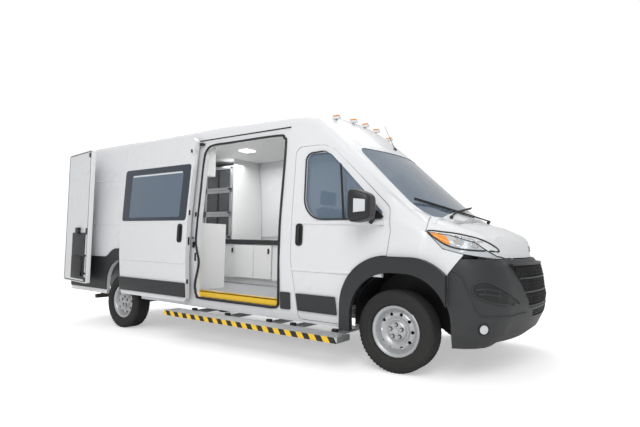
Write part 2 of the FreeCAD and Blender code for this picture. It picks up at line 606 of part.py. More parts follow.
def build_fittings(model):
    """Seats, dashboard and steering wheel, then the clinic's cabinets and lockers."""
    body, floor = model.body_frame, D["floor_height"]
    for side, name in ((-1, "passenger"), (1, "driver")):
        y0 = side * 420 - 240
        base = model.box(("-960", f"{y0} + 40", "floor_height"), ("420", "400", "300"))
        cushion = model.box(("-1010", f"{y0}", "floor_height + 300"), ("520", "480", "130"))
        back = model.shape(side_prism([(-1010, floor + 430, 20), (-1130, floor + 1010, 50),
                                       (-1010, floor + 1010, 50), (-880, floor + 430, 20)],
                                      y0, y0 + 480), "seat_back")
        head = model.shape(side_prism([(-1135, floor + 1030, 30), (-1145, floor + 1190, 40),
                                       (-1055, floor + 1190, 40), (-1050, floor + 1005, 30)],
                                      y0 + 110, y0 + 370), "seat_head")
        model.node(f"{name}_seat", body, model.fuse(base, cushion, back, head))
    dash = side_prism([(-140, 760, 60), (-180, 1050, 80), (-60, 1180, 60), (150, 1180, 20),
                       (150, 760, 20)], -900, 900)
    dash = dash.common(body_loft(70))
    for low, high in ((-1200, -540), (540, 1200)):
        dash = dash.cut(side_prism(grown(FRONT_ARCH, 12, (30, 300)), low, high))
    model.node("dashboard", body, model.shape(dash, "dash_shape"))
    centre, axis = V(*STEERING["centre"]), V(*STEERING["axis"])
    rim = Part.makeTorus(190, 15, centre, axis)
    hub = Part.makeCylinder(55, 50, centre - axis * 45, axis)
    spokes = [Part.makeCylinder(13, 185, centre, V(0, math.cos(a), 0) + V(0.866, 0, 0.5) * math.sin(a))
              for a in (0.2, math.pi - 0.2, -math.pi / 2)]
    wheel = hub.fuse(spokes + [rim])
    model.node("steering_wheel", body, model.shape(wheel.removeSplitter(), "steering_shape"))

    left, right = D["bench_left"], D["bench_right"]
    front, height = D["bench_front"], D["bench_height"]
    top = floor + height - D["bench_top_thickness"]
    case = block(left, right, front, 905, floor + 1, top - 1)
    for x0, x1, y0 in ((left + 20, -3150, front + 18), (-3130, -2429, front - 5),
                       (-2409, right - 20, front + 18)):
        case = case.cut(block(x0, x1, y0, 885, floor + 90, top - 22))
    case = case.cut(block(-4475, -3595, 700, 930, 0, 912))
    case = case.cut(block(left - 5, right + 5, front - 5, front + 60, 0, floor + 80))
    model.node("base_cabinet", body, model.shape(case, "cabinet_shape"))
    worktop = model.box(("bench_left", "bench_front - 20", f"{top}"),
                        ("bench_right - bench_left", "905 - bench_front + 20", "bench_top_thickness"))
    model.node("countertop", body, worktop)
    door_low, door_high = floor + 95, top - 10
    for name, x0, x1 in (("right", -2752, -2433), ("left", -3126, -2758)):
        leaf = block(x0, x1, front - 24, front - 3, door_low, door_high)
        model.node(f"{name}_cabinet_door", body, model.shape(leaf, "cabinet_leaf"))

    bench_top = top + D["bench_top_thickness"]
    cabinet = block(-3330, -3310, 300, 940, bench_top + 2, 2395)
    cabinet = cabinet.fuse(block(-4500, -3310, 860, 880, bench_top + 2, 2395))
    inside = body_loft(68).common(block(-4600, -3000, 0, 1200, 300, 2392))
    model.node("tall_cabinet", body, model.shape(cabinet.common(inside), "tall_shape"))
    rack_low, rack_high = bench_top + 2, 2290
    rack_rear = -3335 - D["rack_length"]
    rack = block(rack_rear, -3335, 300, 780, rack_low, rack_high)
    step = (rack_high - rack_low - 20) / D["rack_rows"]
    for i in range(int(D["rack_rows"])):
        z0 = rack_low + 20 + i * step
        for column in range(int(D["rack_columns"])):
            x1 = -3355 - column * D["rack_length"] / 2
            rack = rack.cut(block(x1 + 40 - D["rack_length"] / 2, x1, 290, 765, z0, z0 + step - 20))
    model.node("locker_rack", body, model.shape(rack, "rack_shape"))
    panel = model.box(("-2765", "-900", "floor_height + 1"), ("25", "515", "counter_height"))
    side = model.box(("-3900", "-410", "floor_height + 1"), ("1135", "25", "counter_height"))
    shelf = model.box(("-3900", "-900", "floor_height + counter_height - 30"), ("1135", "490", "30"))
    model.node("half_partition", body, model.fuse(panel, side, shelf))
    locker = block(-3900, -2725, -910, -610, D["overhead_bottom"], 2385)
    locker = locker.common(body_loft(66)).cut(block(-3880, -2745, -1000, -630,
                                                    D["overhead_bottom"] + 20, 2365))
    locker = max(locker.Solids, key=lambda s: s.Volume)
    model.node("overhead_cabinet", body, model.shape(locker, "overhead_shape"))
    bar = Part.makeCylinder(16, 415, V(-1255, -905, 1287))
    feet = [Part.makeBox(26, 26, 26, V(-1268, -918, z)) for z in (1300, 1660)]
    model.node("grab_bar", body, model.shape(bar.fuse(feet).removeSplitter(), "bar_shape"))

    arm = block(-215, -175, 1018, 1085, 1395, 1420).fuse(block(-215, -175, 1018, 1085, 1530, 1555))
    case = plan_prism([(-330, 1075, 30), (-330, 1292, 20), (-120, 1285, 90), (-105, 1080, 40)],
                      1330, 1632)
    case = case.makeFillet(18, case.Edges)
    case = case.cut(block(-400, -312, 1092, 1275, 1348, 1614))
    mirror = model.shape(case.fuse(arm).cut(body_loft(-1)), "mirror_shape")
    model.node("left_mirror", body, mirror)
    model.node("right_mirror", body, model.mirror(mirror))


# ---------------------------------------------------------------- wheels and axles

def tyre_profile():
    """Half section of a tyre: bead, bowed sidewalls and a flat tread with round shoulders."""
    radius, width, bead = D["tyre_radius"], D["tyre_width"] / 2, D["rim_flange_radius"] + 1
    return rounded([(bead, -78, 0), (bead + 40, -width + 4, 40), (radius - 45, -width, 60),
                    (radius, -width + 22, 26), (radius, width - 22, 26), (radius - 45, width, 60),
                    (bead + 40, width - 4, 40), (bead, 78, 0)], lambda a, b: V(a, b, 0))


def rim_profile():
    """Half section of a steel rim with its disc, the disc near the outer flange."""
    flange, well, half = D["rim_flange_radius"], D["rim_radius"] - 22, 80
    return rounded([(0, -78, 0), (75, -78, 0), (98, -62, 0), (140, -42, 0), (well - 12, -52, 0),
                    (well - 2, -66, 0), (flange - 22, -half + 2, 0), (flange, -half - 2, 0),
                    (flange, -half + 6, 0), (D["rim_radius"], -half + 12, 0), (D["rim_radius"], half - 12, 0),
                    (flange, half - 6, 0), (flange, half + 2, 0), (D["rim_radius"] - 8, half + 2, 0),
                    (D["rim_radius"] - 8, -20, 0), (well - 12, -36, 0), (140, -28, 0), (98, -48, 0),
                    (75, -64, 0), (0, -64, 0)], lambda a, b: V(a, b, 0))


def build_wheels(model):
    """Four wheels with tyre and rim apart, the steered knuckles and the rear beam."""
    ground = model.ground_frame
    tyre = model.revolve(Part.Face(tyre_profile()), "tyre")
    rim = model.revolve(Part.Face(rim_profile()), "rim")
    half_track = D["track"] / 2
    flip = FreeCAD.Rotation(V(0, 0, 1), 180)
    for axle, x in (("front", 0), ("rear", -D["wheelbase"])):
        for side, name in ((-1, "right"), (1, "left")):
            for source, kind in ((tyre, "tyre"), (rim, "rim")):
                set_up = model.doc.addObject("Part::Compound", "set_up")
                set_up.Links = [source]
                turn = flip if side > 0 else FreeCAD.Rotation()
                set_up.Placement = FreeCAD.Placement(V(x, side * half_track, D["axle_height"]), turn)
                model.node(f"{axle}_{name}_{kind}", ground, set_up)
    for side, name in ((-1, "right"), (1, "left")):
        y = side * D["kingpin"]
        hub = model.rod(("0", f"{side} * (track / 2 - 62)", "axle_height"), "55", "60", (0, -side, 0))
        upright = model.box(("-45", f"{y} - 22", "axle_height - 110"), ("90", "44", "230"))
        model.node(f"front_{name}_knuckle", ground, model.fuse(hub, upright))
    beam = model.box(("-wheelbase - 40", "-760", "axle_height - 45"), ("80", "1520", "90"))
    ends = [model.rod(("-wheelbase", f"{s} * 755", "axle_height"), "45", "85", (0, s, 0))
            for s in (-1, 1)]
    model.node("rear_axle", ground, model.fuse(beam, *ends))


# ---------------------------------------------------------------- the whole vehicle

def main():
    """Builds every sub-part and writes the STEP files."""
    model = Model()
    build_front(model, build_shell(model))
    build_floor(model)
    build_trim(model)
    build_fittings(model)
    build_wheels(model)
    model.export()


if __name__ == "__main__":
    main()
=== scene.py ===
"""Looks of the mobile clinic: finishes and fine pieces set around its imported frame."""

import json
import logging
import math
from dataclasses import dataclass, field
from typing import Iterable, Optional, Sequence, Union

import bmesh
import bpy
from mathutils import Matrix, Vector
from mathutils.bvhtree import BVHTree

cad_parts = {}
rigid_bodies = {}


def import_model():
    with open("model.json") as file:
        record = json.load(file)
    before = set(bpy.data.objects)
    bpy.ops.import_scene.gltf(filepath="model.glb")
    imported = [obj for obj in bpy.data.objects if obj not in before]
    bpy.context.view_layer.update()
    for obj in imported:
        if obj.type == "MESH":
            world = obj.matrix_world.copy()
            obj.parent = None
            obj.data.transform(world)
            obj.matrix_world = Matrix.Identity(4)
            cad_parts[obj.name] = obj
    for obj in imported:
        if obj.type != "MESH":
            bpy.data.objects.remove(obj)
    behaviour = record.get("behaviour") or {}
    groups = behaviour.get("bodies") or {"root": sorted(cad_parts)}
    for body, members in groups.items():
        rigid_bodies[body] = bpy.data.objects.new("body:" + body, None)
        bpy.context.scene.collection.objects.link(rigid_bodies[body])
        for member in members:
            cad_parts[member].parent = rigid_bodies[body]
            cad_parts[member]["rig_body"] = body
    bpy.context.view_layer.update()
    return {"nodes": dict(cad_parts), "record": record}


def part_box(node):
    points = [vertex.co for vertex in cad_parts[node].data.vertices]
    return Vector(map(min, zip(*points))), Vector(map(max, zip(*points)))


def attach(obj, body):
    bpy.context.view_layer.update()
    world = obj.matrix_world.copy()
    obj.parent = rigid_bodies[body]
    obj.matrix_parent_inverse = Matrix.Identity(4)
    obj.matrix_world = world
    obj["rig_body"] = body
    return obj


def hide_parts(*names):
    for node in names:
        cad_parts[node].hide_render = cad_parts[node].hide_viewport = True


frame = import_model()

log = logging.getLogger("mobile_clinic")

Point = Sequence[float]
Value = Union["Sock", float, int]

MM = 0.001
RAKE = math.radians(1.45)
WHEELBASE = 4.035


def span(node: str) -> tuple[Vector, Vector]:
    """Lowest and highest corners of a CAD node."""
    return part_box(node)


def body_matrix() -> Matrix:
    """The placement that carries vehicle axes, from the front axle, into the frame.

    Returns:
        The matrix of the raked body.
    """
    low, high = span("front_left_rim")
    axle = (low + high) / 2
    pivot = Vector((-WHEELBASE / 2, 0.0, axle.z))
    shift = Matrix.Translation((axle.x, 0.0, 0.0))
    turn = Matrix.Rotation(RAKE, 4, "Y")
    return shift @ Matrix.Translation(pivot) @ turn @ Matrix.Translation(-pivot)


BODY_PLACE = body_matrix()


# ------------------------------------------------------------------ shader maths

@dataclass
class Sock:
    """One shader socket that can be used in Python expressions."""

    shader: "Shader"
    link: bpy.types.NodeSocket

    def _math(self, operation: str, a: Value, b: Value) -> "Sock":
        """Adds one Math node."""
        return self.shader.add("ShaderNodeMath", {"operation": operation}, {0: a, 1: b})

    def __add__(self, other: Value) -> "Sock":
        """Sum."""
        return self._math("ADD", self, other)

    __radd__ = __add__

    def __sub__(self, other: Value) -> "Sock":
        """Difference."""
        return self._math("SUBTRACT", self, other)

    def __rsub__(self, other: Value) -> "Sock":
        """Reflected difference."""
        return self._math("SUBTRACT", other, self)

    def __mul__(self, other: Value) -> "Sock":
        """Product."""
        return self._math("MULTIPLY", self, other)

    __rmul__ = __mul__

    def __truediv__(self, other: Value) -> "Sock":
        """Quotient."""
        return self._math("DIVIDE", self, other)

    def __gt__(self, other: Value) -> "Sock":
        """One where this is greater, else nought."""
        return self._math("GREATER_THAN", self, other)

    def wave(self, scale: float) -> "Sock":
        """Fraction of the value over a scale, from nought to one."""
        return self._math("FRACT", self * (1.0 / scale), 0.0)


class Shader:
    """A material being built from nodes."""

    def __init__(self, name: str) -> None:
        """Starts an empty material.

        Args:
            name: The material's name.
        """
        self.material = bpy.data.materials.new(name)
        self.material.use_nodes = True
        self.tree = self.material.node_tree
        self.tree.nodes.clear()

    def add(self, kind: str, settings: Optional[dict] = None,
            sockets: Optional[dict] = None, out: Union[int, str] = 0) -> Sock:
        """Adds a node, its settings first and then its sockets.

        Args:
            kind: The node's type.
            settings: Attributes of the node, or a ramp's stops under "stops".
            sockets: Values or sockets by input name or index.
            out: The output that is returned.

        Returns:
            The chosen output.
        """
        node = self.tree.nodes.new(kind)
        for key, value in (settings or {}).items():
            if key == "stops":
                ramp = node.color_ramp
                for index, (place, colour) in enumerate(value):
                    stop = ramp.elements[index] if index < 2 else ramp.elements.new(place)
                    stop.position, stop.color = place, colour
            else:
                setattr(node, key, value)
        for key, value in (sockets or {}).items():
            if isinstance(value, Sock):
                self.tree.links.new(value.link, node.inputs[key])
            else:
                node.inputs[key].default_value = value
        return Sock(self, node.outputs[out])

    def place(self) -> Sock:
        """Object coordinates."""
        return self.add("ShaderNodeTexCoord", out="Object")

    def noise(self, scale: float, detail: float = 3.0, rough: float = 0.5) -> Sock:
        """Noise over object coordinates."""
        return self.add("ShaderNodeTexNoise", {}, {"Vector": self.place(), "Scale": scale,
                                                   "Detail": detail, "Roughness": rough})

    def axes(self) -> tuple[Sock, Sock, Sock]:
        """Object coordinates as three numbers."""
        first = self.add("ShaderNodeSeparateXYZ", {}, {0: self.place()})
        node = first.link.node
        return first, Sock(self, node.outputs[1]), Sock(self, node.outputs[2])

    def blend(self, factor: Value, a: Union[Sock, Point], b: Union[Sock, Point]) -> Sock:
        """Two colours mixed by a factor."""
        node = self.tree.nodes.new("ShaderNodeMix")
        node.data_type = "RGBA"
        for key, value in ((0, factor), (6, a), (7, b)):
            if isinstance(value, Sock):
                self.tree.links.new(value.link, node.inputs[key])
            else:
                node.inputs[key].default_value = value
        return Sock(self, node.outputs[2])

    def finish(self, sockets: dict, bump: Optional[Sock] = None,
               depth: float = 0.001, strength: float = 0.3) -> bpy.types.Material:
        """Closes the material with its surface shader.

        Args:
            sockets: Inputs of the surface shader.
            bump: Height of the fine relief.
            depth: The relief's real depth in metres.
            strength: How strongly it shows.

        Returns:
            The finished material.
        """
        if bump is not None:
            sockets = dict(sockets)
            sockets["Normal"] = self.add("ShaderNodeBump", {}, {
                "Height": bump, "Distance": depth, "Strength": strength})
        shader = self.add("ShaderNodeBsdfPrincipled", {}, sockets)
        output = self.tree.nodes.new("ShaderNodeOutputMaterial")
        self.tree.links.new(shader.link, output.inputs["Surface"])
        return self.material


def rgba(red: float, green: float, blue: float) -> tuple[float, float, float, float]:
    """An opaque colour."""
    return (red, green, blue, 1.0)


@dataclass(frozen=True)
class Finish:
    """One finish of the van, with its grain, mottle and road dust.

    Attributes:
        name: Name of the finish.
        colour: Main colour.
        second: Colour that the mottle leans to.
        roughness: Main roughness.
        metallic: Metalness.
        coat: Clear coat weight.
        grain: Scale of the fine grain.
        relief: Depth of the grain in metres.
        dust: Amount of road dust low on the vehicle.
        alpha: Opacity.
        glow: Light given off.
    """

    name: str
    colour: tuple[float, float, float]
    second: tuple[float, float, float]
    roughness: float = 0.4
    metallic: float = 0.0
    coat: float = 0.0
    grain: float = 300.0
    relief: float = 0.0002
    dust: float = 0.0
    alpha: float = 1.0
    glow: float = 0.0

    def build(self) -> bpy.types.Material:
        """Builds the material.

        Returns:
            The material with its nodes.
        """
        shader = Shader(self.name)
        mottle = shader.noise(2.2, 5.0, 0.6)
        colour = shader.blend(mottle, rgba(*self.colour), rgba(*self.second))
        grain = shader.noise(self.grain, 2.0)
        rough = self.roughness + (mottle - 0.5) * 0.12 + (grain - 0.5) * 0.05
        if self.dust > 0:
            height = shader.axes()[2]
            low = shader.add("ShaderNodeMapRange", {"clamp": True}, {
                "Value": height, "From Min": 0.2, "From Max": 0.9, "To Min": self.dust,
                "To Max": 0.0})
            veil = low * shader.noise(9.0, 6.0, 0.7)
            colour = shader.blend(veil, colour, rgba(0.42, 0.39, 0.34))
            rough = rough + veil * 0.4
        sockets = {"Base Color": colour, "Roughness": rough, "Metallic": self.metallic,
                   "Coat Weight": self.coat, "Coat Roughness": 0.06, "Alpha": self.alpha,
                   "Emission Color": colour, "Emission Strength": self.glow}
        return shader.finish(sockets, grain if self.relief > 0 else None, self.relief)


class Finishes:
    """The van's finishes, built once each."""

    TABLE = {
        "white_paint": Finish("white_paint", (0.79, 0.80, 0.815), (0.755, 0.765, 0.785), 0.26,
                              coat=0.6, relief=0.0, dust=0.05),
        "white_interior": Finish("white_interior", (0.88, 0.88, 0.87), (0.84, 0.845, 0.84), 0.5),
        "laminate": Finish("laminate", (0.87, 0.87, 0.865), (0.83, 0.835, 0.83), 0.35,
                           grain=500.0, relief=0.00005),
        "black_top": Finish("black_top", (0.02, 0.02, 0.022), (0.05, 0.05, 0.055), 0.4,
                            grain=420.0),
        "dark_plastic": Finish("dark_plastic", (0.017, 0.0185, 0.0215), (0.026, 0.028, 0.031), 0.5,
                               grain=700.0, relief=0.0003, dust=0.08),
        "black_plastic": Finish("black_plastic", (0.008, 0.008, 0.009), (0.014, 0.014, 0.015), 0.5,
                                grain=700.0, relief=0.0002),
        "vinyl_floor": Finish("vinyl_floor", (0.30, 0.31, 0.32), (0.38, 0.39, 0.40), 0.5,
                              grain=240.0),
        "tinted_glass": Finish("tinted_glass", (0.13, 0.19, 0.26), (0.11, 0.165, 0.235), 0.05,
                               coat=1.0, relief=0.0, alpha=0.72),
        "lamp_lens": Finish("lamp_lens", (0.62, 0.65, 0.68), (0.56, 0.6, 0.63), 0.08, coat=1.0,
                            relief=0.0, alpha=0.9),
        "red_lens": Finish("red_lens", (0.45, 0.01, 0.01), (0.38, 0.008, 0.01), 0.12, coat=1.0),
        "amber_lens": Finish("amber_lens", (0.9, 0.32, 0.03), (0.8, 0.26, 0.02), 0.12, coat=1.0),
        "tyre": Finish("tyre", (0.007, 0.007, 0.0075), (0.013, 0.013, 0.0135), 0.75, grain=500.0,
                       relief=0.0004, dust=0.06),
        "wheel_silver": Finish("wheel_silver", (0.55, 0.56, 0.575), (0.47, 0.48, 0.49), 0.38,
                               metallic=0.55, coat=0.3, grain=600.0, relief=0.00005, dust=0.08),
        "chassis_steel": Finish("chassis_steel", (0.03, 0.03, 0.031), (0.06, 0.052, 0.046), 0.6,
                                metallic=0.3, dust=0.3),
        "cast_iron": Finish("cast_iron", (0.12, 0.12, 0.12), (0.18, 0.17, 0.16), 0.6,
                            metallic=0.5),
        "aluminium": Finish("aluminium", (0.62, 0.63, 0.64), (0.53, 0.54, 0.55), 0.35,
                            metallic=0.8, grain=380.0),
        "seat_fabric": Finish("seat_fabric", (0.03, 0.031, 0.034), (0.055, 0.056, 0.06), 0.9,
                              grain=900.0, relief=0.0008),
        "rubber": Finish("rubber", (0.012, 0.012, 0.013), (0.022, 0.022, 0.023), 0.6,
                         grain=600.0, relief=0.0002),
        "satin_dark": Finish("satin_dark", (0.012, 0.0125, 0.014), (0.02, 0.021, 0.022), 0.42,
                             grain=800.0, relief=0.0001),
        "bright_steel": Finish("bright_steel", (0.62, 0.62, 0.63), (0.5, 0.5, 0.51), 0.3,
                               metallic=0.9),
        "glass_border": Finish("glass_border", (0.008, 0.016, 0.034), (0.010, 0.02, 0.04), 0.1,
                               coat=0.6, relief=0.0),
        "smoked_pane": Finish("smoked_pane", (0.06, 0.065, 0.07), (0.09, 0.095, 0.10), 0.08,
                              coat=0.8, alpha=0.8),
        "clear_lens": Finish("clear_lens", (0.70, 0.72, 0.74), (0.6, 0.62, 0.64), 0.08,
                             coat=1.0),
        "mirror_glass": Finish("mirror_glass", (0.75, 0.77, 0.79), (0.7, 0.72, 0.74), 0.04,
                               metallic=1.0),
        "lit_panel": Finish("lit_panel", (0.95, 0.95, 0.93), (0.9, 0.9, 0.88), 0.4, glow=3.0),
        "yellow_paint": Finish("yellow_paint", (0.95, 0.60, 0.01), (0.88, 0.54, 0.01), 0.35,
                               coat=0.4),
    }

    def __init__(self) -> None:
        """Starts with nothing built."""
        self.built: dict[str, bpy.types.Material] = {}

    def get(self, name: str) -> bpy.types.Material:
        """The finish of that name."""
        if name not in self.built:
            self.built[name] = self.TABLE[name].build()
        return self.built[name]


FINISHES = Finishes()


# ------------------------------------------------------------------ mesh helpers

def smooth_by_angle(mesh: bpy.types.Mesh, degrees: float = 32.0) -> None:
    """Shades a mesh smooth, with sharp edges where its faces turn by more than an angle.

    Args:
        mesh: The mesh.
        degrees: The largest turn that still looks round.
    """
    work = bmesh.new()
    work.from_mesh(mesh)
    limit = math.radians(degrees)
    for face in work.faces:
        face.smooth = True
    for edge in work.edges:
        edge.smooth = len(edge.link_faces) == 2 and edge.calc_face_angle(0.0) < limit
    work.to_mesh(mesh)
    work.free()


def put(name: str, mesh: bpy.types.Mesh, finish: str, body: str,
        slot: Optional[str] = None) -> bpy.types.Object:
    """Adds a finished piece that rides on a body.

    Args:
        name: The piece's name.
        mesh: Its mesh, in the frame.
        finish: Name of its finish.
        body: The body it rides on.
        slot: The record's material slot; not used.

    Returns:
        The piece.
    """
    piece = bpy.data.objects.new(name, mesh)
    bpy.context.scene.collection.objects.link(piece)
    mesh.materials.clear()
    mesh.materials.append(FINISHES.get(finish))
    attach(piece, body)
    if slot or finish in SLOTS:
        slot or finish
    log.info("%s: %d faces", name, len(mesh.polygons))
    return piece


SLOTS = {entry["slot"] for entry in frame["record"]["materials"]}


def merged(node: str) -> bpy.types.Mesh:
    """A copy of a CAD node's mesh with its loose triangles joined."""
    work = bmesh.new()
    work.from_mesh(frame["nodes"][node].data)
    bmesh.ops.remove_doubles(work, verts=work.verts, dist=0.00005)
    bmesh.ops.dissolve_degenerate(work, dist=0.00001, edges=work.edges)
    mesh = bpy.data.meshes.new(node + "_panel")
    work.to_mesh(mesh)
    work.free()
    return mesh


def body_of_node(node: str) -> str:
    """Name of the body that a CAD node rides on."""
    return frame["nodes"][node]["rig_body"]


class Solid:
    """A mesh being put together in vehicle axes, in millimetres."""

    def __init__(self) -> None:
        """Starts empty."""
        self.work = bmesh.new()

    def box(self, low: Point, high: Point) -> "Solid":
        """Adds a box between two corners."""
        made = bmesh.ops.create_cube(self.work, size=1.0)["verts"]
        low, high = Vector(low), Vector(high)
        size = high - low
        for vert in made:
            vert.co = low + Vector((size[i] * (vert.co[i] + 0.5) for i in range(3)))
        return self

    def rod(self, start: Point, end: Point, radius: float, sides: int = 20,
            end_radius: Optional[float] = None) -> "Solid":
        """Adds a round bar between two points."""
        start, end = Vector(start), Vector(end)
        along = end - start
        made = bmesh.ops.create_cone(
            self.work, cap_ends=True, segments=sides, radius1=radius,
            radius2=radius if end_radius is None else end_radius, depth=along.length)["verts"]
        turn = along.to_track_quat("Z", "Y").to_matrix().to_4x4()
        bmesh.ops.transform(self.work, verts=made,
                            matrix=Matrix.Translation((start + end) / 2) @ turn)
        return self

    def prism(self, outline: Iterable[Point], push: Point) -> "Solid":
        """Adds a flat outline pushed along a vector."""
        verts = [self.work.verts.new(p) for p in outline]
        face = self.work.faces.new(verts)
        made = bmesh.ops.extrude_face_region(self.work, geom=[face])["geom"]
        bmesh.ops.translate(self.work, vec=Vector(push),
                            verts=[g for g in made if isinstance(g, bmesh.types.BMVert)])
        return self

    def done(self, name: str, bevel: float = 0.0, place: Optional[Matrix] = None,
             angle: float = 32.0) -> bpy.types.Mesh:
        """Closes the mesh and carries it into the frame.

        Args:
            name: The mesh's name.
            bevel: Width of the rounded edges, in millimetres.
            place: The placement, by default the raked body's.
            angle: The largest turn that still looks round.

        Returns:
            The mesh.
        """
        bmesh.ops.recalc_face_normals(self.work, faces=self.work.faces)
        if bevel > 0:
            edges = [e for e in self.work.edges if e.calc_face_angle(0.0) > math.radians(40)]
            bmesh.ops.bevel(self.work, geom=edges, offset=bevel, segments=2, profile=0.7,
                            affect="EDGES", clamp_overlap=True)
        scale = Matrix.Scale(MM, 4)
        place = BODY_PLACE if place is None else place
        bmesh.ops.transform(self.work, matrix=place @ scale, verts=self.work.verts)
        mesh = bpy.data.meshes.new(name)
        self.work.to_mesh(mesh)
        self.work.free()
        smooth_by_angle(mesh, angle)
        return mesh


# ------------------------------------------------------------------ sub-assemblies

@dataclass
class Shell:
    """Every CAD panel, dressed in its own finish with rounded shading."""

    own_finish: dict[str, str] = field(default_factory=lambda: {
        "engine": "cast_iron"})

    def build(self) -> None:
        """Dresses each CAD node."""
        slots = {entry["node"]: entry["material_slot"] for entry in frame["record"]["subparts"]}
        drawn = ("_tyre", "_rim", "_mirror", "_seat", "grab_bar")
        for node in sorted(n for n in frame["nodes"] if not n.endswith(drawn)):
            finish = self.own_finish.get(node, slots[node])
            mesh = merged(node)
            smooth_by_angle(mesh)
            piece = put(node + "_panel", mesh, finish, body_of_node(node), slots[node])
            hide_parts(node)


# ------------------------------------------------------------------ shapes on the flank

SIDES = {"right": -1, "left": 1}


def flank(z: float) -> float:
    """Half width of the body side at a height, in millimetres."""
    if z <= 950:
        return 985 + 39 * (1 - ((950 - z) / 580) ** 2)
    if z <= 1400:
        return 1024 - 12 * ((z - 950) / 450) ** 2
    return 1012 - 87 * (z - 1400) / 980


def loop(corners: Sequence[Point], steps: int = 6) -> list[tuple[float, float]]:
    """Points round an outline whose corners are (a, b, radius).

    Args:
        corners: The corners in order.
        steps: Points on each rounded corner.

    Returns:
        The closed outline's points.
    """
    points = []
    count = len(corners)
    for i, (a, b, radius) in enumerate(corners):
        here = Vector((a, b))
        back = (Vector(corners[i - 1][:2]) - here).normalized()
        ahead = (Vector(corners[(i + 1) % count][:2]) - here).normalized()
        half = max(back.angle(ahead) / 2, 0.05)
        reach = radius / math.tan(half)
        centre = here + (back + ahead).normalized() * (radius / math.sin(half))
        first, last = here + back * reach - centre, here + ahead * reach - centre
        turn = first.angle_signed(last) if radius > 0 else 0.0
        for k in range(steps):
            part = k / (steps - 1)
            spot = centre + Matrix.Rotation(-turn * part, 2) @ first if radius > 0 else here
            points.append((spot.x, spot.y))
    return points


def smooth_path(points: Sequence[Point], steps: int = 6, closed: bool = False) -> list[Vector]:
    """Points of a smooth curve through given points.

    Args:
        points: The points that it passes.
        steps: Points on each span.
        closed: Whether the curve closes on itself.

    Returns:
        The curve's points.
    """
    knots = [Vector(p) for p in points]
    count = len(knots)
    spans = count if closed else count - 1
    path = []
    for i in range(spans):
        if closed:
            a, b, c, d = (knots[(i + k) % count] for k in (-1, 0, 1, 2))
        else:
            a, b = knots[max(i - 1, 0)], knots[i]
            c, d = knots[i + 1], knots[min(i + 2, count - 1)]
        for k in range(steps):
            t = k / steps
            path.append(0.5 * ((2 * b) + (c - a) * t + (2 * a - 5 * b + 4 * c - d) * t * t
                               + (3 * b - a - 3 * c + d) * t ** 3))
    if not closed:
        path.append(knots[-1])
    return path


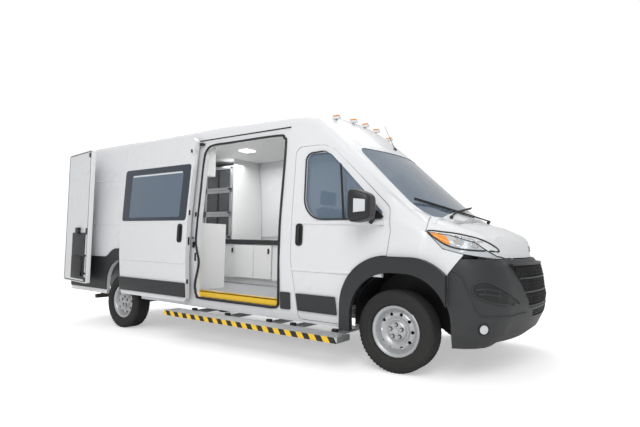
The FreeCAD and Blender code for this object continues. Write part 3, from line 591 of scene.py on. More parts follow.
class Form(Solid):
    """A solid with the swept and flat shapes that trim needs."""

    def tube(self, path: Sequence[Point], radius: float, sides: int = 10,
             closed: bool = False, flat: float = 1.0) -> "Form":
        """Adds a round strip along a path.

        Args:
            path: Its points.
            radius: Its radius.
            sides: Faces round it.
            closed: Whether it closes on itself.
            flat: Height of the section over its width.

        Returns:
            This form.
        """
        points = [Vector(p) for p in path]
        count = len(points)
        rings = []
        up = Vector((0, 1, 0))
        for i, point in enumerate(points):
            before = points[i - 1] if closed or i else point
            after = points[(i + 1) % count] if closed or i < count - 1 else point
            along = (after - before).normalized()
            if abs(along.dot(up)) > 0.95:
                across = along.cross(Vector((1, 0, 0))).normalized()
            else:
                across = along.cross(up).normalized()
            lift = across.cross(along).normalized()
            rings.append([self.work.verts.new(point + radius * (
                math.cos(2 * math.pi * k / sides) * across
                + flat * math.sin(2 * math.pi * k / sides) * lift)) for k in range(sides)])
        spans = count if closed else count - 1
        for i in range(spans):
            first, second = rings[i], rings[(i + 1) % count]
            for k in range(sides):
                self.work.faces.new((first[k], first[(k + 1) % sides],
                                     second[(k + 1) % sides], second[k]))
        if not closed:
            self.work.faces.new(rings[0])
            self.work.faces.new(rings[-1][::-1])
        return self

    def frame(self, outer: Sequence[Point], inner: Sequence[Point], depth: float,
              lift: float, side: int) -> "Form":
        """Adds a flat frame on the body side between two outlines of (x, z) points.

        Args:
            outer: The outer outline.
            inner: The inner outline, with as many points.
            depth: Thickness of the frame.
            lift: How far its inner face stands off the side.
            side: Which side it is on.

        Returns:
            This form.
        """
        layers = []
        for out in (lift, lift + depth):
            layers.append([[self.work.verts.new((x, side * (flank(z) + out), z)) for x, z in line]
                           for line in (outer, inner)])
        count = len(outer)
        for i in range(count):
            j = (i + 1) % count
            (a, b), (c, d) = layers
            self.work.faces.new((a[i], a[j], b[j], b[i]))
            self.work.faces.new((c[i], c[j], d[j], d[i]))
            self.work.faces.new((a[i], a[j], c[j], c[i]))
            self.work.faces.new((b[i], b[j], d[j], d[i]))
        return self

    def plate(self, outline: Sequence[Point], depth: float, lift: float, side: int,
              shift: float = 0.0) -> "Form":
        """Adds a plate on the body side within an outline of (x, z) points."""
        front = [self.work.verts.new((x, side * (flank(z) + lift + depth + shift), z))
                 for x, z in outline]
        back = [self.work.verts.new((x, side * (flank(z) + lift + shift), z))
                for x, z in outline]
        self.work.faces.new(front)
        self.work.faces.new(back[::-1])
        for i in range(len(outline)):
            j = (i + 1) % len(outline)
            self.work.faces.new((front[i], front[j], back[j], back[i]))
        return self

    def lathe(self, profile: Sequence[Point], sides: int = 64, axis_y: float = 0.0,
              centre: Point = (0, 0, 0), side: int = 1) -> "Form":
        """Adds a closed profile of (radius, width) points turned about the Y axis.

        Args:
            profile: The closed section.
            sides: Faces round it.
            axis_y: Offset along the axis.
            centre: Centre of the turn.
            side: Sign of the width.

        Returns:
            This form.
        """
        centre = Vector(centre)
        rings = []
        for k in range(sides):
            angle = 2 * math.pi * k / sides
            out = Vector((math.cos(angle), 0, math.sin(angle)))
            rings.append([self.work.verts.new(
                centre + out * r + Vector((0, side * (w + axis_y), 0))) for r, w in profile])
        count = len(profile)
        for k in range(sides):
            a, b = rings[k], rings[(k + 1) % sides]
            for i in range(count):
                j = (i + 1) % count
                self.work.faces.new((a[i], a[j], b[j], b[i]))
        return self


class Skin:
    """The outer face of a CAD node, found along lines of sight from the viewing place."""

    def __init__(self, *nodes: str) -> None:
        """Gathers the nodes' faces.

        Args:
            nodes: Names of the CAD nodes.
        """
        work = bmesh.new()
        for node in nodes:
            work.from_mesh(frame["nodes"][node].data)
        work.transform(BODY_PLACE.inverted())
        bmesh.ops.scale(work, vec=(1000, 1000, 1000), verts=work.verts)
        self.tree = BVHTree.FromBMesh(work)
        work.free()
        eye = Studio.place()
        self.eye = (BODY_PLACE.inverted() @ eye) / MM

    def spot(self, point: Point, out: float = 0.0) -> Vector:
        """The skin's point in line with a given point, lifted off by a small distance."""
        aim = Vector(point)
        hit, normal, _, _ = self.tree.ray_cast(self.eye, (aim - self.eye).normalized())
        if hit is None:
            hit, normal, _, _ = self.tree.find_nearest(aim)
        return hit + normal.normalized() * out

    def line(self, points: Sequence[Point], out: float, side: int = -1,
             closed: bool = True) -> list[Vector]:
        """A smooth line on the skin through given points, mirrored for the left side."""
        path = smooth_path(points, 5, closed)
        return [self.side(self.spot(p, out), side) for p in path]

    @staticmethod
    def side(point: Vector, side: int) -> Vector:
        """The point on the named side."""
        return Vector((point.x, -side * point.y, point.z))

    def patch(self, form: "Form", points: Sequence[Point], out: float, side: int = -1) -> None:
        """Adds a closed patch that lies on the skin within an outline."""
        rim = smooth_path(points, 5, True)
        centre = sum(rim, Vector()) / len(rim)
        rings = []
        for part in (1.0, 0.75, 0.5, 0.25):
            rings.append([form.work.verts.new(self.side(self.spot(
                centre + (p - centre) * part, out), side)) for p in rim])
        hub = form.work.verts.new(self.side(self.spot(centre, out), side))
        count = len(rim)
        for outer, inner in zip(rings, rings[1:]):
            for i in range(count):
                j = (i + 1) % count
                form.work.faces.new((outer[i], outer[j], inner[j], inner[i]))
        for i in range(count):
            form.work.faces.new((rings[-1][i], rings[-1][(i + 1) % count], hub))


# ------------------------------------------------------------------ wheels

@dataclass
class Wheel:
    """One wheel: a treaded tyre on a steel rim with round holes and five nuts.

    Attributes:
        node: Start of its CAD nodes' names.
        side: Which side it is on.
        holes: Round holes in the disc.
        nuts: Wheel nuts.
        lugs: Shoulder blocks round the tread.
    """

    node: str
    side: int
    holes: int = 10
    nuts: int = 5
    lugs: int = 60
    sides: int = 96

    def build(self) -> None:
        """Builds the tyre and the rim."""
        low, high = span(self.node + "_tyre")
        self.centre = (low + high) / 2 / MM
        self.body = body_of_node(self.node + "_tyre")
        self.radius = (high.z - low.z) / 2 / MM
        self.tyre()
        self.rim()

    def tyre(self) -> None:
        """The tyre with its grooves, sidewall rings and shoulder blocks."""
        top, half = self.radius - 0.3, 111.0
        section = [(222, -70), (222, -80), (232, -100), (250, -107), (262, -108), (264, -110),
                   (270, -110), (272, -109), (300, -111), (318, -108), (330, -101), (338, -95),
                   (346, -88)]
        groove = 7.0
        for middle in (-54, -18, 18, 54):
            section += [(top, middle - 7), (top - groove, middle - 4), (top - groove, middle + 4),
                        (top, middle + 7)]
        section.insert(13, (top, -76))
        section.append((top, 76))
        section += [(r, -w) for r, w in section[12::-1]]
        form = Form()
        form.lathe(section, self.sides, 0.0, self.centre, self.side)
        mesh = form.done(self.node + "_tyre_wall", place=Matrix.Identity(4), angle=28)
        piece = put(self.node + "_tyre_wall", mesh, "tyre", self.body)
        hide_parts(self.node + "_tyre")
        self.tread(half)

    def tread(self, half: float) -> None:
        """Shoulder blocks set round the tyre by geometry nodes."""
        block = Form().box((-8, -13, -6), (8, 13, 2)).done(
            "tread_block", 1.5, Matrix.Identity(4))
        for edge in (-1, 1):
            ring = ring_of(block, self.lugs, (self.radius - 4.5) * MM,
                           self.centre * MM + Vector((0, edge * 79 * MM, 0)), edge * 0.22)
            put(f"{self.node}_tread_{'out' if edge * self.side > 0 else 'in'}", ring, "tyre",
                self.body)

    def rim(self) -> None:
        """The steel rim."""
        s = self.side
        section = [(0, 50), (30, 52), (62, 52), (76, 48), (86, 36), (92, 26), (104, 24),
                   (128, 40), (142, 45), (158, 40), (168, 28), (180, 24), (190, 34), (196, 66),
                   (204, 74), (216, 78), (220, 81), (220, 84), (214, 86), (206, 82), (200, 80),
                   (190, 72), (184, 50), (176, 34), (170, 36), (158, 49), (142, 54), (126, 49),
                   (104, 33), (95, 34), (88, 46), (78, 57), (62, 61), (30, 61), (0, 59)]
        section = [(r, w) for r, w in section if r > 0]
        section = [(3, 50)] + section + [(3, 59)]
        form = Form()
        form.lathe(section, self.sides, 0.0, self.centre, s)
        barrel = [(198, 70), (190, -60), (196, -78), (218, -82), (218, -85), (192, -84),
                  (186, -60), (192, 70)]
        form.lathe(barrel, self.sides, 0.0, self.centre, s)
        mesh = form.done(self.node + "_rim_disc", place=Matrix.Identity(4), angle=38)
        mesh = self.drilled(mesh)
        piece = put(self.node + "_rim_disc", mesh, "wheel_silver", self.body)
        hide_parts(self.node + "_rim")
        trim = Form()
        for i in range(self.nuts):
            angle = 2 * math.pi * (i + 0.25) / self.nuts
            spot = self.centre + Vector((math.cos(angle) * 55, 0, math.sin(angle) * 55))
            trim.rod(spot + Vector((0, s * 56, 0)), spot + Vector((0, s * 76, 0)), 13.5, 6)
            trim.rod(spot + Vector((0, s * 74, 0)), spot + Vector((0, s * 80, 0)), 9, 12, 6)
        trim.rod(self.centre + Vector((0, s * 50, 0)), self.centre + Vector((0, s * 66, 0)),
                 30, 40, 24)
        put(self.node + "_nuts", trim.done(self.node + "_nuts", 0.8, Matrix.Identity(4)),
            "bright_steel", self.body)
        dark = Form()
        for i in range(self.nuts):
            angle = 2 * math.pi * (i + 0.25) / self.nuts
            spot = self.centre + Vector((math.cos(angle) * 55, 0, math.sin(angle) * 55))
            dark.rod(spot + Vector((0, s * 58, 0)), spot + Vector((0, s * 62.5, 0)), 19, 24)
        dark.rod(self.centre + Vector((0, s * -70, 0)), self.centre + Vector((0, s * 12, 0)),
                 150, 40)
        put(self.node + "_brake", dark.done(self.node + "_brake", 0, Matrix.Identity(4)),
            "black_plastic", self.body)

    def drilled(self, mesh: bpy.types.Mesh) -> bpy.types.Mesh:
        """The rim with round holes cut through its disc."""
        drill = Form()
        for i in range(self.holes):
            angle = 2 * math.pi * i / self.holes
            spot = self.centre + Vector((math.cos(angle) * 147, 0, math.sin(angle) * 147))
            drill.rod(spot + Vector((0, self.side * 10, 0)), spot + Vector((0, self.side * 75, 0)),
                      15, 20)
        return boolean(mesh, drill.done("drill", 0, Matrix.Identity(4)), "DIFFERENCE")


def boolean(base: bpy.types.Mesh, tool: bpy.types.Mesh, operation: str) -> bpy.types.Mesh:
    """The result of one solid taken from, or met with, another.

    Args:
        base: The mesh that is changed.
        tool: The mesh that changes it.
        operation: DIFFERENCE, INTERSECT or UNION.

    Returns:
        A new plain mesh.
    """
    objects = [bpy.data.objects.new("work", m) for m in (base, tool)]
    for item in objects:
        bpy.context.scene.collection.objects.link(item)
    modifier = objects[0].modifiers.new("cut", "BOOLEAN")
    modifier.operation, modifier.object, modifier.solver = operation, objects[1], "EXACT"
    graph = bpy.context.evaluated_depsgraph_get()
    result = bpy.data.meshes.new_from_object(objects[0].evaluated_get(graph))
    for item in objects:
        bpy.data.objects.remove(item)
    smooth_by_angle(result, 38)
    return result


def ring_of(mesh: bpy.types.Mesh, count: int, radius: float, centre: Vector,
            lean: float) -> bpy.types.Mesh:
    """Copies of a mesh round a wheel, made by geometry nodes.

    Args:
        mesh: The mesh that repeats.
        count: How many.
        radius: Radius of the ring, in metres.
        centre: The ring's centre.
        lean: Turn of each copy about the spoke, in radians.

    Returns:
        A plain mesh.
    """
    tree = bpy.data.node_groups.new("ring_of_blocks", "GeometryNodeTree")
    tree.interface.new_socket("Geometry", in_out="INPUT", socket_type="NodeSocketGeometry")
    tree.interface.new_socket("Geometry", in_out="OUTPUT", socket_type="NodeSocketGeometry")
    numbers = {"Count": ("NodeSocketInt", count), "Radius": ("NodeSocketFloat", radius),
               "Lean": ("NodeSocketFloat", lean)}
    for name, (kind, _) in numbers.items():
        tree.interface.new_socket(name, in_out="INPUT", socket_type=kind)
    add = tree.nodes.new
    given, out = add("NodeGroupInput"), add("NodeGroupOutput")
    circle = add("GeometryNodeMeshCircle")
    circle.fill_type = "NONE"
    placed = add("GeometryNodeInstanceOnPoints")
    align = add("FunctionNodeAlignRotationToVector")
    align.axis = "Z"
    position = add("GeometryNodeInputPosition")
    lean_node = add("FunctionNodeRotateRotation")
    lean_node.rotation_space = "LOCAL"
    euler = add("FunctionNodeEulerToRotation")
    combine = add("ShaderNodeCombineXYZ")
    real, dress = add("GeometryNodeRealizeInstances"), add("GeometryNodeSetMaterial")
    link = tree.links.new
    link(given.outputs["Count"], circle.inputs["Vertices"])
    link(given.outputs["Radius"], circle.inputs["Radius"])
    link(circle.outputs[0], placed.inputs["Points"])
    link(given.outputs["Geometry"], placed.inputs["Instance"])
    link(position.outputs[0], align.inputs["Vector"])
    link(given.outputs["Lean"], combine.inputs["Z"])
    link(combine.outputs[0], euler.inputs[0])
    link(align.outputs[0], lean_node.inputs[0])
    link(euler.outputs[0], lean_node.inputs[1])
    link(lean_node.outputs[0], placed.inputs["Rotation"])
    link(placed.outputs[0], real.inputs[0])
    link(real.outputs[0], dress.inputs[0])
    link(dress.outputs[0], out.inputs[0])
    holder = bpy.data.objects.new("ring", mesh.copy())
    bpy.context.scene.collection.objects.link(holder)
    modifier = holder.modifiers.new("ring", "NODES")
    modifier.node_group = tree
    for item in tree.interface.items_tree:
        if item.item_type == "SOCKET" and item.in_out == "INPUT" and item.name in numbers:
            modifier[item.identifier] = numbers[item.name][1]
    graph = bpy.context.evaluated_depsgraph_get()
    result = bpy.data.meshes.new_from_object(holder.evaluated_get(graph))
    bpy.data.objects.remove(holder)
    result.transform(Matrix.Translation(centre) @ Matrix.Rotation(math.pi / 2, 4, "X"))
    smooth_by_angle(result)
    return result


@dataclass
class Wheels:
    """All four wheels."""

    def build(self) -> None:
        """Builds each wheel."""
        for axle in ("front", "rear"):
            for name, side in SIDES.items():
                Wheel(f"{axle}_{name}", side).build()


# ------------------------------------------------------------------ side doorway and doors

@dataclass
class Doorway:
    """The side doorway's seal, upper rail, nosing, sill and lock furniture."""

    front: float = -1292.0
    rear: float = -2542.0
    bottom: float = 480.0
    top: float = 2283.0

    def build(self) -> None:
        """Builds everything round the doorway."""
        self.seal()
        self.rail()
        self.nosing()
        self.locks()

    def seal(self) -> None:
        """The black seal, with its bulge on the rear pillar."""
        f, r, b, t = self.front, self.rear, self.bottom, self.top
        line = [(f, b + 140), (f, 1300), (f, t - 150), (f - 30, t - 40), (f - 130, t - 2),
                (r + 420, t - 2), (r + 130, t - 4), (r + 28, t - 50), (r - 8, t - 170),
                (r - 10, 1700), (r - 14, 1330), (r - 20, 1150), (r + 6, 1030), (r + 44, 920),
                (r + 42, 850), (r + 10, 740), (r - 20, 640), (r - 20, b + 90), (r + 6, b + 20),
                (r + 90, b - 2), (f - 300, b - 2), (f - 80, b), (f - 12, b + 30)]
        path = smooth_path([(x, -(flank(z) + 4), z) for x, z in line], 5, True)
        form = Form().tube(path, 13, 8, True, 1.0)
        put("doorway_seal", form.done("doorway_seal"), "rubber", "body", "black_plastic")

    def rail(self) -> None:
        """The upper rail's cover over the doorway, with a black strip painted as the shade in its
        groove.
        """
        form = Form()
        for low, high, out in ((2318, 2332, 2), (2338, 2344, 3)):
            form.plate([(self.front + 46, low), (self.rear - 110, low),
                        (self.rear - 110, high), (self.front + 46, high)], 3, out - 2, -1)
        put("upper_rail_lips", form.done("upper_rail_lips", 0.6), "white_paint", "body")
        # Painted shade: a black strip standing in for the shadow inside the rail's groove.
        groove = Form().plate([(self.front + 48, 2346), (self.rear - 120, 2346),
                               (self.rear - 120, 2362), (self.front + 48, 2362)], 2, -1, -1)
        put("upper_rail_groove_shade", groove.done("upper_rail_groove_shade"), "black_plastic", "body")

    def nosing(self) -> None:
        """The yellow step nosing and the bright sill with its studs."""
        nose = Form().box((self.rear + 6, -968, 492), (self.front - 6, -926, 560))
        nose.box((self.rear + 6, -968, 545), (self.front - 6, -880, 560))
        put("step_nosing", nose.done("step_nosing", 3), "yellow_paint", "body")
        studs = Form()
        for i in range(9):
            x = self.rear + 120 + i * 125
            studs.rod((x, -975, 487), (x, -984, 487), 6, 10)
        studs.box((self.rear + 10, -976, 482), (self.front - 10, -962, 491))
        put("sill_studs", studs.done("sill_studs"), "bright_steel", "body", "aluminium")

    def locks(self) -> None:
        """Striker, latch and stops on the rear pillar and the door's leading edge."""
        form = Form()
        x0 = self.rear - 62
        form.box((x0 - 8, -1034, 1060), (x0 + 22, -1020, 1130))
        form.box((x0 + 34, -1034, 905), (x0 + 52, -1016, 1000))
        form.rod((x0, -1026, 1175), (x0, -1048, 1175), 9, 12)
        form.box((x0 - 8, -1012, 1425), (x0 + 20, -1000, 1480))
        form.box((x0 - 34, -985, 2292), (x0 + 42, -925, 2316))
        form.rod((x0 - 20, -980, 2300), (x0 - 20, -1010, 2300), 16, 14)
        put("door_locks", form.done("door_locks", 1.5), "black_plastic", "body")


def pull_handle(name: str, x: float, z: float, side: int, lift: float, body: str,
                tall: float = 222.0, wide: float = 86.0) -> None:
    """An upright recessed pull handle on a door.

    Args:
        name: Name of the piece.
        x: Its middle.
        z: Its middle height.
        side: Which side it is on.
        lift: How far the skin stands off the flank.
        body: The body it rides on.
        tall: Its height.
        wide: Its width.
    """
    def oval(h: float, w: float, r: float) -> list[tuple[float, float]]:
        """An upright rounded outline."""
        return loop([(x - w / 2, z - h / 2, r), (x - w / 2, z + h / 2, r),
                     (x + w / 2, z + h / 2, r), (x + w / 2, z - h / 2, r)], 6)

    bezel = Form().frame(oval(tall, wide, 36), oval(tall - 34, wide - 34, 24), 7, lift - 2, side)
    put(name + "_bezel", bezel.done(name + "_bezel", 1.5), "black_plastic", body)
    cup = Form().plate(oval(tall - 30, wide - 30, 24), 2, lift - 2, side)
    put(name + "_cup", cup.done(name + "_cup"), "rubber", body, "black_plastic")
    y = side * (flank(z) + lift)
    bar = Form().tube(smooth_path([(x, y, z - tall * 0.34), (x, y + side * 12, z - tall * 0.27),
                                   (x, y + side * 15, z), (x, y + side * 12, z + tall * 0.27),
                                   (x, y, z + tall * 0.34)], 5), 12, 10)
    put(name + "_bar", bar.done(name + "_bar"), "satin_dark", body, "black_plastic")


@dataclass
class Grip:
    """The yellow grab bar just inside the doorway's front edge."""

    x: float = -1318.0
    low: float = 1287.0
    high: float = 1690.0

    def build(self) -> None:
        """Builds the bar with its two feet."""
        form = Form().box((self.x - 14, -952, self.low), (self.x + 10, -934, self.high))
        for z in (self.low + 13, self.high - 39):
            form.box((self.x, -944, z), (-1246, -906, z + 26))
        piece = put("grab_bar_grip", form.done("grab_bar_grip", 4), "yellow_paint", "body")
        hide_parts("grab_bar")


@dataclass
class Cushion:
    """A crowned, closed pad drawn between limits and leaned back.

    Attributes:
        name: Name of the piece.
        low: Lowest corner.
        high: Highest corner.
        thin: The axis across its thickness.
        crown: How far its faces rise.
        lean: Backward lean in degrees about its lowest rear edge.
    """

    name: str
    low: Point
    high: Point
    thin: int
    crown: float = 22.0
    lean: float = 0.0

    def build(self) -> bpy.types.Object:
        """Builds the pad.

        Returns:
            The padded piece.
        """
        cage = bmesh.new()
        bmesh.ops.create_cube(cage, size=2.0)
        bmesh.ops.subdivide_edges(cage, edges=cage.edges, cuts=9, use_grid_fill=True)
        low, high = Vector(self.low), Vector(self.high)
        middle, half = (low + high) / 2, (high - low) / 2
        wide = [k for k in range(3) if k != self.thin]
        for vert in cage.verts:
            unit = vert.co.copy()
            swell = (1 - unit[wide[0]] ** 4) * (1 - unit[wide[1]] ** 4)
            channel = math.exp(-((abs(unit[wide[0]]) - 0.52) / 0.05) ** 2)
            spot = Vector((0.0, 0.0, 0.0))
            for k in range(3):
                spot[k] = unit[k] * (half[k] - (self.crown if k == self.thin else 0.0))
            spot[self.thin] += math.copysign(1, unit[self.thin]) * self.crown * swell * (
                1 - 0.55 * channel)
            for a, b in (wide, wide[::-1]):
                spot[a] *= 1 - 0.035 * (1 - unit[b] ** 2)
            vert.co = middle + spot
        turn = Matrix.Translation(Vector((high.x, 0, low.z))) @ Matrix.Rotation(
            -math.radians(self.lean), 4, "Y") @ Matrix.Translation(-Vector((high.x, 0, low.z)))
        mesh = bpy.data.meshes.new(self.name)
        bmesh.ops.transform(cage, matrix=BODY_PLACE @ Matrix.Scale(MM, 4) @ turn,
                            verts=cage.verts)
        cage.to_mesh(mesh)
        cage.free()
        holder = bpy.data.objects.new("holder", mesh)
        bpy.context.scene.collection.objects.link(holder)
        rounder = holder.modifiers.new("round", "SUBSURF")
        rounder.levels = rounder.render_levels = 2
        graph = bpy.context.evaluated_depsgraph_get()
        final = bpy.data.meshes.new_from_object(holder.evaluated_get(graph))
        bpy.data.objects.remove(holder)
        smooth_by_angle(final, 80)
        piece = put(self.name, final, "seat_fabric", "body")
        return piece


@dataclass
class Seats:
    """The two cab seats."""

    def build(self) -> None:
        """Builds each seat's pedestal, pads and head restraint."""
        for name, side in (("passenger", -1), ("driver", 1)):
            y = side * 420
            seat = Cushion(f"{name}_seat_pad", (-1006, y - 236, 838), (-494, y + 236, 962), 2)
            back = Cushion(f"{name}_back_pad", (-1006, y - 236, 970), (-890, y + 236, 1548), 0,
                           18.0, 11.0)
            head = Cushion(f"{name}_head_pad", (-1140, y - 126, 1570), (-1062, y + 126, 1715), 0,
                           14.0)
            pads = [part.build() for part in (seat, back, head)]
            form = Form().box((-955, y - 195, 536), (-545, y + 195, 834))
            for offset in (-60, 60):
                form.rod((-1100, y + offset, 1500), (-1100, y + offset, 1600), 7, 12)
            base = put(f"{name}_seat_base", form.done(f"{name}_seat_base", 12), "black_plastic",
                       "body", "seat_fabric")
            for piece in pads + [base]:
                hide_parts(f"{name}_seat")


@dataclass
class Creases:
    """The pressed lines along the body side."""

    runs: tuple = ((-5380, -3960, 0, "body", -1), (-3870, -2632, 112, "body", -1),
                   (-1125, -120, 0, "front_right_door", -1), (-5380, -1180, 0, "body", 1),
                   (-1125, -120, 0, "front_left_door", 1))

    def build(self) -> None:
        """Lays two pressed lines on each panel."""
        for k, (rear, front, lift, body, side) in enumerate(self.runs):
            form = Form()
            for z, radius in ((1345, 26), (880, 20)) if "door" in body else (
                    (1345, 26), (1965, 22), (880, 20)):
                y = side * (flank(z) + lift - radius + 4)
                form.tube([(rear, y, z), ((rear + front) / 2, y, z), (front, y, z)], radius, 16)
            put(f"pressed_line_{k}", form.done(f"pressed_line_{k}", 0, angle=60), "white_paint",
                body)


@dataclass
class SlidingDoor:
    """Window border, moulding and handle of the open side door."""

    shift_x: float = -1330.0
    lift: float = 112.0

    def build(self) -> None:
        """Dresses the door."""
        front, rear = -1292 + self.shift_x, -2542 + self.shift_x
        outer = loop([(rear - 50, 1378, 40), (rear - 90, 2056, 40), (front - 15, 2056, 40),
                      (front - 15, 1378, 40)])
        inner = loop([(rear + 90, 1420, 30), (rear + 62, 1985, 60), (front - 140, 1985, 60),
                      (front - 140, 1420, 30)])
        border = Form().frame(outer, inner, 1.5, self.lift + 2.5, -1)
        put("slide_window_border", border.done("slide_window_border"), "glass_border", "body",
            "tinted_glass")
        strip = loop([(rear - 55, 480, 8), (rear - 62, 649, 8), (front + 8, 649, 8),
                      (front + 8, 480, 8)], 3)
        form = Form().plate(strip, 14, self.lift - 2, -1)
        put("slide_moulding", form.done("slide_moulding", 3), "dark_plastic", "body")
        pull_handle("slide_handle", -2731, 1228, -1, self.lift, "body")
        edge = Form()
        for z, tall in ((1440, 60), (1090, 90), (640, 50), (2180, 40)):
            edge.box((front + 14, -1108, z), (front + 19, -1085, z + tall))
        put("slide_edge_plates", edge.done("slide_edge_plates", 1), "black_plastic", "body")


@dataclass
class CabDoor:
    """Handle, moulding, window seal and divider of one cab door."""

    name: str
    side: int

    def build(self) -> None:
        """Dresses the door."""
        body = f"front_{self.name}_door"
        s = self.side
        pull_handle(f"{self.name}_door_handle", -1040, 1228, s, 0, body)
        window = [(-985, 1385, 220), (-1010, 2040, 70), (-760, 2050, 120), (-95, 1385, 40)]
        centre = (-700, 1650)
        wide = [(a + math.copysign(14, a - centre[0]), b + math.copysign(14, b - centre[1]), r + 14)
                for a, b, r in window]
        seal = Form().frame(loop(wide, 8), loop(window, 8), 7, -4, s)
        put(f"{self.name}_window_seal", seal.done(f"{self.name}_window_seal", 1), "rubber", body,
            "black_plastic")
        bar = Form().plate([(-520, 1378), (-540, 1378), (-610, 1925), (-588, 1905)], 6, -8, s)
        sail = loop([(-330, 1378, 10), (-360, 1560, 10), (-95, 1378, 12)], 4)
        bar.plate(sail, 8, -8, s)
        put(f"{self.name}_window_bar", bar.done(f"{self.name}_window_bar", 1), "black_plastic",
            body)
        strip = loop([(-1044, 480, 8), (-1066, 649, 8), (-606, 649, 6), (-590, 480, 6)], 3)
        form = Form().plate(strip, 14, -2, s)
        put(f"{self.name}_door_moulding", form.done(f"{self.name}_door_moulding", 3),
            "dark_plastic", body)
        self.mirror(body)

    def mirror(self, body: str) -> None:
        """The two-armed mirror with its rounded case and clear turn lamp."""
        s = self.side
        case = bmesh.new()
        bmesh.ops.create_cube(case, size=1.0)
        bmesh.ops.subdivide_edges(case, edges=case.edges, cuts=2, use_grid_fill=True)
        mesh = bpy.data.meshes.new("case")
        case.to_mesh(mesh)
        case.free()
        for vert in mesh.vertices:
            x, y, z = vert.co
            pull = 1 - 0.35 * max(0.0, x + 0.1) * (1 + abs(z))
            vert.co = (x * 205 - 236, (y * 205 * pull + 1182 - 18 * max(0.0, x)) * s,
                       z * 296 * pull + 1481 - 14 * x)
        shell = bpy.data.objects.new("case", mesh)
        bpy.context.scene.collection.objects.link(shell)
        rounder = shell.modifiers.new("round", "SUBSURF")
        rounder.levels = rounder.render_levels = 3
        graph = bpy.context.evaluated_depsgraph_get()
        round_case = bpy.data.meshes.new_from_object(shell.evaluated_get(graph))
        bpy.data.objects.remove(shell)
        work = bmesh.new()
        work.from_mesh(round_case)
        bmesh.ops.transform(work, matrix=BODY_PLACE @ Matrix.Scale(MM, 4), verts=work.verts)
        bmesh.ops.recalc_face_normals(work, faces=work.faces)
        work.to_mesh(round_case)
        work.free()
        smooth_by_angle(round_case, 60)
        piece = put(f"{self.name}_mirror_case", round_case, "satin_dark", body, "black_plastic")
        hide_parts(f"{self.name}_mirror")
        arms = Form()
        for z, drop in ((1552, 20), (1404, 0)):
            arms.tube(smooth_path([(-240, s * 1010, z - 60), (-205, s * 1035, z - 24 + drop),
                                   (-195, s * 1075, z), (-205, s * 1110, z)], 5), 21, 12)
        arms.plate(loop([(-330, 1385, 10), (-345, 1530, 30), (-150, 1440, 30), (-100, 1385, 10)],
                        4), 14, -2, s)
        put(f"{self.name}_mirror_arms", arms.done(f"{self.name}_mirror_arms", 0), "satin_dark",
            body, "black_plastic")
        lamp = Form().prism([(-262, s * 1279, 1420), (-262, s * 1279, 1540),
                             (-160, s * 1262, 1530), (-160, s * 1262, 1430)], (0, s * 9, 0))
        put(f"{self.name}_mirror_lamp", lamp.done(f"{self.name}_mirror_lamp", 3), "clear_lens",
            body, "lamp_lens")
        glass = Form().prism([(-327, s * 1105, 1370), (-327, s * 1260, 1370),
                              (-327, s * 1260, 1595), (-327, s * 1105, 1595)], (3, 0, 0))
        put(f"{self.name}_mirror_glass", glass.done(f"{self.name}_mirror_glass"),
            "mirror_glass", body, "aluminium")


# ------------------------------------------------------------------ nose

